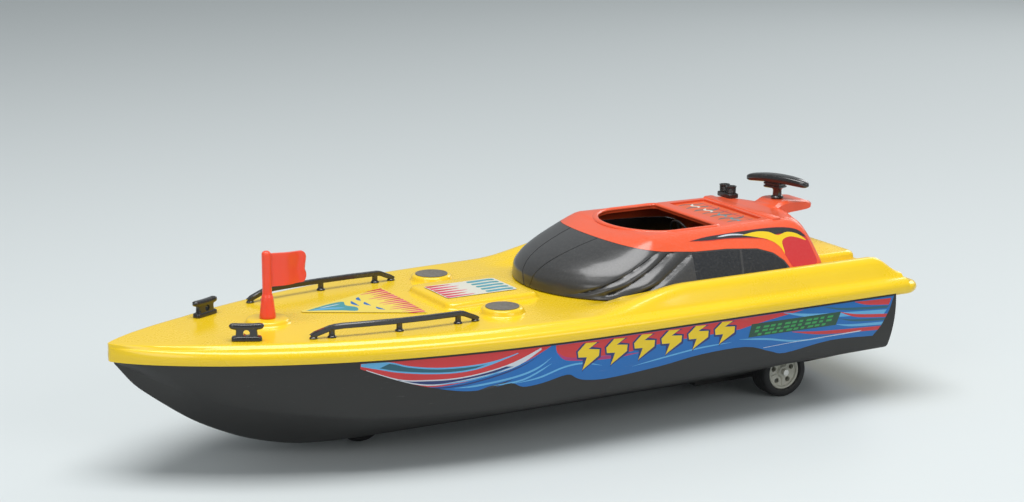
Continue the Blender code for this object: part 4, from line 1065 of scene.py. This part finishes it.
RIM_R, RIM_STEPS, SPOKES = 9.3, 48, 3
rim_rings = []
for i in range(RIM_STEPS + 1):
    angle = 2 * math.pi * (i % RIM_STEPS) / RIM_STEPS
    grip = 0.62 + 0.06 * math.cos(angle * 24)
    rim_rings.append([on_wheel((RIM_R + grip * a) * math.cos(angle), (RIM_R + grip * a) * math.sin(angle),
                               grip * b) for a, b in oval(1, 1, 12)])
wheel_parts = lofted(rim_rings, caps=False)
for i in range(SPOKES):
    angle = math.radians(90 + 120 * i)
    ca, sa = math.cos(angle), math.sin(angle)
    spoke = []
    for r, wide, w in ((1.6, 1.2, -0.9), (5.0, 0.85, -0.4), (9.1, 0.9, 0.0)):
        spoke.append([on_wheel(r * ca - a * wide * sa, r * sa + a * wide * ca, w + 0.4 * b)
                      for a, b in oval(1, 1, 10)])
    lofted(spoke, wheel_parts)
boss_levels = ((1.0, -5.2), (1.0, -1.8), (2.3, -1.6), (2.4, -0.4), (2.0, 0.5), (1.1, 0.75))
lofted([[on_wheel(u, v, w) for u, v in oval(r, r, 24)] for r, w in boss_levels], wheel_parts)
placed(made("steering_wheel_detailed", wheel_parts), black_trim, "steering", "black_trim_plastic",
       "steering_wheel")


# ---------------------------------------------------------------- canopy and cabin roof
# The smoke-grey windscreen moulding has slanted flutes on each side of its nose and glossier side
# windows. The orange roof moulding sits on it and comes down behind it to the deck.

JOINT = [(-5, 91.0), (-39, 85.7), (-43.5, 84.9), (-50, 83.7), (-63, 81.4), (-81, 79.6), (-99, 79),
         (-116, 77.4), (-124, 74.8), (-128.5, 71.2), (-131, 66.5), (-131.8, 61)]
JOINT_GAP, CANOPY_WALL, ROOF_WALL = 0.06, 2.2, 1.8


def joint_tool(above):
    """A wide prism over or under the joint line, for splitting the cabin into its two mouldings."""
    far = [(-131.8, 55), (-175, 55), (-175, 95), (-5, 95)] if above else [(-131.8, 55), (-20, 55), (5, 55)]
    line = [(x, z + (JOINT_GAP if above else -JOINT_GAP)) for x, z in JOINT]
    return made("tool", lofted([[(x, y, z) for x, z in line + far] for y in (-60, 60)]))


def on_cabin(side, proud):
    """Lays (x, z) points on the cabin's side."""
    def place(x, z):
        return (x, side * (cabin_side_y(x, z) + proud), z)
    return place


levels = spread(62.3, 87.2, 72)
canopy = made("canopy_detailed", lofted([cabin_ring(z, fluted=True) for z in levels]), 24)
carve(canopy, [made("tool", lofted([cabin_ring(z, CANOPY_WALL) for z in spread(60, 85.5, 20)]))])
carve(canopy, [joint_tool(False)], "INTERSECT", 24)
seams = []
for side in (1, -1):
    seam = []
    for z in spread(61.5, 86.5, 26):
        nose, half, _, _ = cabin_values(z)
        y = 2.8 + (z - 63) * 0.457
        seam.append((WIDEST + (nose - WIDEST) * math.sqrt(1 - (y / half) ** 2), side * y, z))
    seams.append(swept("tool", seam, oval(0.34, 0.5, 10)))
carve(canopy, seams, crease=24)
smoke = finish("smoke_grey_plastic", (0.040, 0.040, 0.041), roughness=0.3, uneven=0.07, grain=1400.0,
               relief=0.008, scuffs=0.4, dust=0.04, coat=0.35)
placed(canopy, smoke, "boat", "smoke_grey_plastic", "canopy")

window_black = finish("window_black", (0.014, 0.015, 0.018), roughness=0.1, uneven=0.05, grain=1400.0,
                      relief=0.008, scuffs=0.5, dust=0.05, coat=0.8)
WINDOWS = [[(-75.6, 66.8), (-101.4, 66.8), (-105.6, 77.9), (-99.0, 78.5), (-86.0, 78.9), (-79.0, 79.2)],
           [(-102.6, 66.8), (-129.6, 67.0), (-127.7, 71.0), (-123.4, 74.3), (-115.8, 76.9), (-106.8, 77.9)]]
for side, word in SIDES:
    for number, outline in enumerate(WINDOWS, 1):
        sheet = []
        for (ax, az), (bx, bz) in zip(outline, outline[1:] + outline[:1]):
            sheet += [(ax + (bx - ax) * t, az + (bz - az) * t) for t in (0.03, 0.26, 0.5, 0.74, 0.97)]
        pane = film(sheet, [(sheet, "ground")], on_cabin(side, 0.16), 2.5)
        pane = film_piece(f"side_window_{word}_{number}", pane, (0, side, 0), 0.35)
        placed(pane, window_black, "boat", "smoke_grey_plastic")

MIDDLE_X = -95.0
roof_rings = [cabin_ring(z) for z in levels]
for share, z in ((0.985, 87.42), (0.95, 87.62), (0.88, 87.75), (0.6, 87.85)):
    roof_rings.append([(MIDDLE_X + (x - MIDDLE_X) * share, y * share, z) for x, y, _ in cabin_ring(87.2)])


def hatchway(z, grow=0.0):
    """The plan of the opening over the cockpit: square aft, round forward."""
    half = 27.8 + grow
    corner = [(-102 - grow, half - 3), (-101.2 - grow, half - 0.9), (-99 - grow, half)]
    plan = [(x, -y) for x, y in corner]
    for angle in spread(-math.pi / 2, math.pi / 2, 41):
        plan.append((-78 + (20.5 + grow) * math.cos(angle), half * math.sin(angle)))
    return [(x, y, z) for x, y in plan + corner[::-1]]


def side_shape(outline, per_span=5):
    """A smooth closed outline through a few points."""
    return curve_through(list(outline) + [outline[0]], per_span)[:-1]


roof = made("cabin_roof_detailed", lofted(roof_rings), 28)
label_pocket = block(-129.8, -108.8, -25.5, 25.5, 86.5, 95, 1.5)
carve(roof, [made("tool", lofted([cabin_ring(z, ROOF_WALL) for z in spread(60, 85.6, 20)]))])
carve(roof, [joint_tool(True)], "INTERSECT", 28)
carve(roof, [made("tool", lofted([hatchway(60), hatchway(95)])), label_pocket], crease=28)
ridge_bar = [(-138.2, 85.5), (-138.2, 87.4), (-137.6, 88.2), (-136.6, 88.4), (-133.4, 88.4), (-132.4, 88.2),
             (-131.8, 87.5), (-131.8, 85.5)]
pylon = [(-135, 85.8), (-138.5, 86.6), (-144, 87.2), (-149, 88.2), (-153, 90.0), (-158, 90.2), (-168, 89.5),
         (-171.2, 88.2), (-171.7, 86.8), (-170, 85.4), (-157, 83.8), (-152, 80.5), (-149, 79), (-146, 82),
         (-140, 84.0)]
join_into(roof, [swept("rim", hatchway(87.25, 0.9), oval(1.5, 1.0), True, 60),
                 slab("bar", ridge_bar, -30.2, 30.2, 0.9),
                 slab("pylon", side_shape(pylon, 3), -9.4, 9.4, 1.4)])
roof_orange = finish("orange_plastic", (0.84, 0.095, 0.022), roughness=0.3, uneven=0.06, grain=1500.0,
                     relief=0.03, scuffs=0.4, dust=0.06, coat=0.35)
placed(roof, roof_orange, "boat", "orange_plastic", "cabin_roof")


# ---------------------------------------------------------------- roof stickers
# A wavy black and yellow streak with a red patch on each side of the roof, and an orange label with
# brown streaks in the pocket behind the hatchway: printed film, without any lettering.

streak = side_shape([(-80, 84.0), (-90, 84.9), (-102, 85.1), (-114, 85.2), (-126, 85.1), (-136, 84.4),
                     (-143, 82.8), (-146.3, 79.5), (-147.0, 74), (-146.6, 68.2), (-139, 67.9), (-132.4, 68.2),
                     (-130.6, 72.5), (-129.0, 77.0), (-124, 80.3), (-114, 81.9), (-102, 82.9), (-90, 83.2)], 4)
band = side_shape([(-80.5, 84.0), (-90, 84.8), (-102, 85.0), (-114, 85.1), (-126, 85.0), (-136, 84.3),
                   (-142.8, 82.7), (-146.2, 79.4), (-142, 80.6), (-136, 81.8), (-129, 82.0), (-122, 81.4),
                   (-113, 82.3), (-102, 83.1), (-90, 83.4)], 4)
flame = side_shape([(-110, 83.6), (-119, 84.2), (-126, 83.4), (-130.5, 81.6), (-136.5, 82.4), (-142.0, 81.0),
                    (-145.6, 78.0), (-141, 79.6), (-136.4, 80.4), (-131.6, 79.0), (-130.6, 74.8),
                    (-129.2, 71.8), (-127.8, 76.6), (-124.4, 80.2), (-118, 82.0)], 4)
glint = brush([(-96, 84.2), (-104, 84.4), (-112, 83.6)], 0.6)
streak_shapes = [(streak, "red"), (band, "ground"), (glint, "white"), (flame, "yellow")]
for side, word in SIDES:
    sticker = film(streak, streak_shapes, on_cabin(side, 0.16), 2.5)
    placed(film_piece(f"roof_sticker_{word}", sticker, (0, side, 0), 0.4), vinyl, "boat", "orange_plastic")


def flat_label(node, sheet, ground, shapes, height):
    """A printed film in the place of a label's node, on a level face."""
    sticker = film(sheet, [(sheet, ground)] + shapes, lambda x, y: (x, y, height + 0.25), 3.0)
    placed(film_piece(node + "_detailed", sticker, (0, 0, 1), 0.13), vinyl, "boat", "printed_label", node)


roof_shapes = []
for i in range(7):
    y = -21.5 + 7.1 * i
    lean = 1.2 * math.sin(i * 2.1)
    path = [(-127.6, y + lean), (-122, y + 1.6 - lean), (-116, y - 0.6), (-111.2, y + 0.8)]
    roof_shapes.append((brush(path, 1.5 + 0.5 * (i % 3)), "grey"))
roof_shapes += strokes([([(-120.5, y - 4.5), (-117.8, y - 1), (-119.6, y + 2), (-117.6, y + 4.5)], 1.6,
                         "aqua" if y > 0 else "cream") for y in (-17, -5.5, 7, 18)])
roof_shapes += strokes([([(-125.5, -23.6), (-124.6, 2), (-125.6, 23.4)], 1.1, "red")])
flat_label("roof_label", plan_box(-129.2, -109.4, -24.9, 24.9, 1.3, 4), "orange", roof_shapes, 86.62)


# ---------------------------------------------------------------- deck labels and boss discs
# Printed paper-backed labels on the hatch and on the foredeck, and two dark-grey speckled discs
# pressed into the deck's round bosses.

hatch_shapes = []
for i in range(6):
    y, odd = -10.4 + 4.1 * i, i % 2
    spike = [(34.9, y - 1.7), (35.0, y + 1.7), (24.0 - 2 * odd, y + 0.9), (21.5 - 2 * odd, y)]
    hatch_shapes.append((spike, "rose" if odd else "red"))
for i in range(5):
    y = -9.6 + 4.8 * i
    blob = [(13.5, y - 1.4), (13.9, y + 1.2), (9.0, y + 1.5), (4.4, y + 1.0), (0.4, y + 1.6), (0.2, y - 1.2),
            (6.2, y - 1.6)]
    hatch_shapes.append((side_shape(blob, 3), "aqua"))
    hatch_shapes += strokes([([(12.4, y), (7.5, y - 0.2), (2.0, y + 0.3)], 0.55, "light")])
flat_label("hatch_label", plan_box(-1.4, 35.4, -12.4, 12.4, 1.6, 4), "cream", hatch_shapes, 64.82)

bow_corners = [(99.0, -9.8), (99.2, -7.2), (50.0, 20.6), (48.1, -31.4)]
bow_sheet = []
for (ax, ay), (bx, by) in zip(bow_corners, bow_corners[1:] + bow_corners[:1]):
    steps = max(2, int(math.hypot(bx - ax, by - ay) / 3))
    bow_sheet += [(ax + (bx - ax) * i / steps, ay + (by - ay) * i / steps) for i in range(steps)]
splash = side_shape([(97.0, -8.4), (90, -5.4), (82, -1.2), (76.5, 2.4), (74.0, -3.5), (77.0, -9.0),
                     (75.4, -15.6), (82, -14.8), (90, -11.6)], 4)
bow_shapes = [(splash, "aqua")] + strokes([([(94, -8.4), (86, -7.4), (79, -5.2)], 2.2, "light"),
                                           ([(90, -9.8), (83, -11.4), (78.6, -12.4)], 1.0, "white")])
SPIKES = 15
for i in range(SPIKES):
    y = -28.8 + 46.4 * i / (SPIKES - 1)
    reach = 60.0 + 2.6 * math.sin(i * 1.9)
    spike = [(49.0, y - 1.35), (49.2, y + 1.35), (reach, y * 0.93 + 0.5), (reach + 0.5, y * 0.93)]
    bow_shapes.append((spike, "rose" if i % 3 else "red"))
for (ax, ay), (bx, by) in (((65.5, -20), (67.5, -13)), ((66.8, -10.5), (67.0, -3)), ((65.8, 0), (64.5, 7)),
                           ((71.5, -15), (72.0, -5))):
    middle = ((ax + bx) / 2 + 0.8, (ay + by) / 2)
    bow_shapes.append((brush([(ax, ay), middle, (bx, by)], 2.0, 0.4), "blue"))
flat_label("foredeck_label", bow_sheet, "lemon", bow_shapes, 61.82)

speckle_disc = finish("speckled_disc", (0.15, 0.135, 0.115), roughness=0.62, uneven=0.35, grain=2600.0,
                      relief=0.05, scuffs=0.3, dust=0.12)
disc_face = [(0, 64.52), (7.75, 64.52), (7.75, 64.8), (7.5, 64.87), (7.0, 64.87), (6.9, 64.8), (2.2, 64.8),
             (2.0, 64.87), (0, 64.87)]
for side, word in SIDES:
    disc = made(f"boss_disc_{word}_detailed", turned(disc_face, (BOSS_X, BOSS_Y * side, 0), "Z", 72))
    placed(disc, speckle_disc, "boat", "grey_label", f"boss_disc_{word}")


# ---------------------------------------------------------------- radar scanner and twin horn
# The glossy black scanner bar turns with its grooved bracket on a pin in the roof's pylon; beside
# it a pair of small textured horns is pressed into the roof.

def about(points, centre, degrees):
    """Points turned about an upright axis through a centre."""
    c, s = math.cos(math.radians(degrees)), math.sin(math.radians(degrees))
    return [(centre[0] + x * c - y * s, centre[1] + x * s + y * c, z) for x, y, z in points]


def soft_square(angle):
    """The two places of a point on a rounded square of half width 1."""
    c, s = math.cos(angle), math.sin(angle)
    return math.copysign(abs(c) ** 0.6, c), math.copysign(abs(s) ** 0.6, s)


RADAR, RADAR_TURN, RADAR_HALF = (-156.5, 0.0), 22, 18.1
bar_rings = []
for i in range(41):
    share = -1 + i / 20
    end = max(0.0, 1 - abs(share) ** 14) ** 0.5
    wide = (3.7 - 1.5 * share * share) * max(0.2, end)
    top, low = 102.6 - 2 * share * share, 98.2 - 1.1 * share * share
    middle, tall = (top + low) / 2, (top - low) / 2 * max(0.25, end)
    section = [soft_square(2 * math.pi * k / 20) for k in range(20)]
    ring = [(wide * u, RADAR_HALF * share, middle + tall * v) for u, v in section]
    bar_rings.append(about(ring, RADAR, RADAR_TURN))
radar_parts = lofted(bar_rings)
bracket_levels = ((95.6, 0.5), (96.0, 0), (96.7, 0), (96.9, 0.5), (97.2, 0.5), (97.4, 0), (98.1, 0),
                  (98.3, 0.5), (98.6, 0.5), (98.8, 0), (99.9, 0))
lofted([about([(x, y, z) for x, y in plan_box(s - 3.4, 3.4 - s, s - 6.4, 3.8 - s, 0.8, 4)], RADAR, RADAR_TURN)
        for z, s in bracket_levels], radar_parts)
pin = [(0, 87.3), (1.4, 87.3), (1.4, 90.6), (3.1, 90.6), (3.3, 90.9), (3.0, 91.5), (2.3, 91.9), (2.2, 94.6),
       (2.7, 95.4), (2.9, 96.0), (0, 96.0)]
turned(pin, (*RADAR, 0), "Z", 40, radar_parts)
black_gloss = finish("black_gloss_plastic", (0.017, 0.016, 0.016), roughness=0.16, uneven=0.08, grain=1700.0,
                     relief=0.015, scuffs=0.5, dust=0.07, coat=0.6)
placed(made("radar_scanner_detailed", radar_parts, 40), black_gloss, "radar", "black_trim_plastic",
       "radar_scanner")

HORN, HORN_OFFSET, HORN_RIDGES = (-144.2, -25.5), 2.9, 5
foot_levels = ((87.62, 0.1), (87.9, 0), (89.5, 0), (89.9, 0.3), (90.0, 0.7))
horn_x, horn_y = HORN
horn_parts = lofted([[(horn_x + x, horn_y + y, z)
                      for x, y in plan_box(s - 2.9, 2.9 - s, s - 5.6, 5.6 - s, 0.8, 4)] for z, s in foot_levels])
cup = [(0, 89.0), (2.0, 89.0), (2.1, 90.2)]
for lift in [0.55 * k for k in range(HORN_RIDGES)]:
    cup += [(2.35, 90.3 + lift), (2.6, 90.5 + lift), (2.35, 90.75 + lift)]
cup += [(2.7, 93.2), (2.75, 93.55), (2.2, 93.6), (1.9, 92.6), (0, 92.3)]
for offset in (-HORN_OFFSET, HORN_OFFSET):
    turned(cup, (horn_x, horn_y + offset, 0), "Z", 36, horn_parts)
placed(made("twin_horn_detailed", horn_parts), black_trim, "boat", "black_trim_plastic", "twin_horn")


# ---------------------------------------------------------------- flag
# A thin orange flag moulded in one with its pole, which stands in a stepped cone plugged into the
# pad on the foredeck. The waving plate has a hemmed edge and lets a little light through.

pole = [(0, 60.6), (1.9, 60.6), (1.9, 63.9), (3.6, 63.9), (3.7, 64.3), (3.5, 66.0), (3.1, 69.5),
        (2.75, 72.6), (2.5, 73.9), (2.3, 74.3), (2.15, 74.8), (2.1, 76.5), (2.1, 92.4), (2.0, 93.3),
        (1.6, 93.9), (0.9, 94.25), (0, 94.3)]
flag_parts = turned(pole, (POLE_X, 0, 0), "Z", 48)
PLATE_LENGTH, PLATE_LOW, PLATE_HIGH = 17.6, 77.9, 92.9
plate = []
for share in spread(0, 1, 34):
    wave = math.sin(share * 6.0)
    x = POLE_X - 1.4 - share * PLATE_LENGTH
    y = 2.5 * share * math.sin(share * 5.6)
    thick = 0.75 if 0.06 < share < 0.94 else 0.85
    corner = 1.3 * max(0.0, (share - 0.93) / 0.07) ** 2
    low = PLATE_LOW + corner + 0.25 * wave * share
    high = PLATE_HIGH - corner + 0.35 * wave * share - 0.8 * share
    face = []
    for t in spread(0, 1, 12):
        hem = 0.12 if t < 0.1 or t > 0.9 else 0.0
        face.append((x - 0.5 * share * math.sin(t * 9), y - thick - hem, low + (high - low) * t))
    plate.append(face + [(px, y + (y - py), pz) for px, py, pz in reversed(face)])
lofted(plate, flag_parts)
flag_orange = finish("flag_orange_plastic", (0.94, 0.075, 0.028), roughness=0.34, uneven=0.05, grain=1500.0,
                     relief=0.02, scuffs=0.35, dust=0.05, coat=0.25, scatter=0.35)
placed(made("flag_detailed", flag_parts, 50), flag_orange, "boat", "orange_plastic", "flag")


# ---------------------------------------------------------------- cleats
# Glossy black moulded cleats pressed into the foredeck: a foot, two horns that curve up a little,
# and a post between them with an eye through it.

CLEAT_X, CLEAT_Y, CLEAT_TURN = 139.5, 24.6, -27
for side, word in SIDES:
    def on_cleat(rings):
        """Rings about the cleat's middle, turned and moved to its place on the deck."""
        return [about(ring, (CLEAT_X, CLEAT_Y * side), CLEAT_TURN * side) for ring in rings]

    foot = [[(x, y, z) for x, y in plan_box(s - 6.6, 6.6 - s, s * 0.6 - 2, 2 - s * 0.6, 1.2, 4)]
            for z, s in ((61.9, 0), (63.1, 0), (63.55, 0.25), (63.8, 0.8))]
    horns = []
    for share in spread(-1, 1, 25):
        end = max(0.3, max(0.0, 1 - abs(share) ** 10) ** 0.5)
        height = 67.95 + 0.35 * share * share
        section = [soft_square(2 * math.pi * k / 16) for k in range(16)]
        horns.append([(7.55 * share, 1.7 * end * u, height + 1.35 * end * v) for u, v in section])
    cleat = made(f"cleat_{word}_detailed", lofted(on_cleat(horns), lofted(on_cleat(foot))))
    post_rings = [[(x, y, z) for x, y in plan_box(s - 5.2, 5.2 - s, -1.6, 1.6, 0.8, 4)]
                  for z, s in ((63.2, 0), (63.9, 0.4), (66.4, 0.6), (67.2, 0.1))]
    eye = [[(x, y, z) for x, z in disc_plan(0, 65.4, 1.45, 24)] for y in (-4, 4)]
    post = carve(made("post", lofted(on_cleat(post_rings))), [made("tool", lofted(on_cleat(eye)))])
    placed(join_into(cleat, [post]), black_gloss, "boat", "black_trim_plastic", f"cleat_{word}")


# ---------------------------------------------------------------- hand rails
# Two flat glossy black rails whose slanted tips and footed posts are plugged into the deck. Each is
# moulded in one piece: a bent bar, three turned posts and a foot under each tip.

RAIL_PATH = [(114, 35.6, 62.6), (113.2, 35.7, 63.1), (112.4, 35.9, 63.7), (108.6, 36.7, 65.0),
             (106.2, 37.1, 65.8), (105, 37.4, 66.1), (103.4, 37.7, 66.35), (100, 38.3, 66.5),
             (90, 40.0, 66.45), (74.6, 42, 66.3), (60, 42.9, 66.2), (44.5, 43, 66.1), (43.0, 43.05, 65.8),
             (41, 43.1, 64.9), (38, 43.1, 63.6), (37.2, 43.1, 63.1), (36.4, 43.1, 62.6)]
RAIL_POSTS, RAIL_FEET = ((105, 37.4), (74.6, 42), (46, 42.95)), ((113.0, 35.75), (37.4, 43.1))
flat_bar = [(1.2, -0.8), (1.2, 0.75), (0.85, 1.15), (-0.85, 1.15), (-1.2, 0.75), (-1.2, -0.8), (-0.85, -1.15),
            (0.85, -1.15)]
post_profile = [(0, -0.1), (2.0, -0.1), (2.05, 0.25), (1.9, 0.6), (1.5, 0.85), (1.35, 1.4), (1.35, 3.0),
                (1.5, 4.0), (0, 4.1)]
for side, word in SIDES:
    rail = swept(f"rail_{word}_detailed", [(x, y * side, z) for x, y, z in RAIL_PATH], flat_bar)
    post = made("post", turned(post_profile, (0, 0, 0), "Z", 24))
    spots = [((x, y * side, 61.75), (0, 0, 0)) for x, y in RAIL_POSTS]
    shells = [instanced("rail_posts", points_host(spots), post, black_gloss)]
    for x, y in RAIL_FEET:
        foot = [([(x + u * (1.9 - s), y * side + v * (1.5 - s)) for u, v in oval(1, 1, 24)], z)
                for s, z in ((0, 61.72), (0.0, 62.3), (0.5, 62.75))]
        shells.append(raised("foot", foot))
    placed(join_into(rail, shells), black_gloss, "boat", "black_trim_plastic", f"rail_{word}")
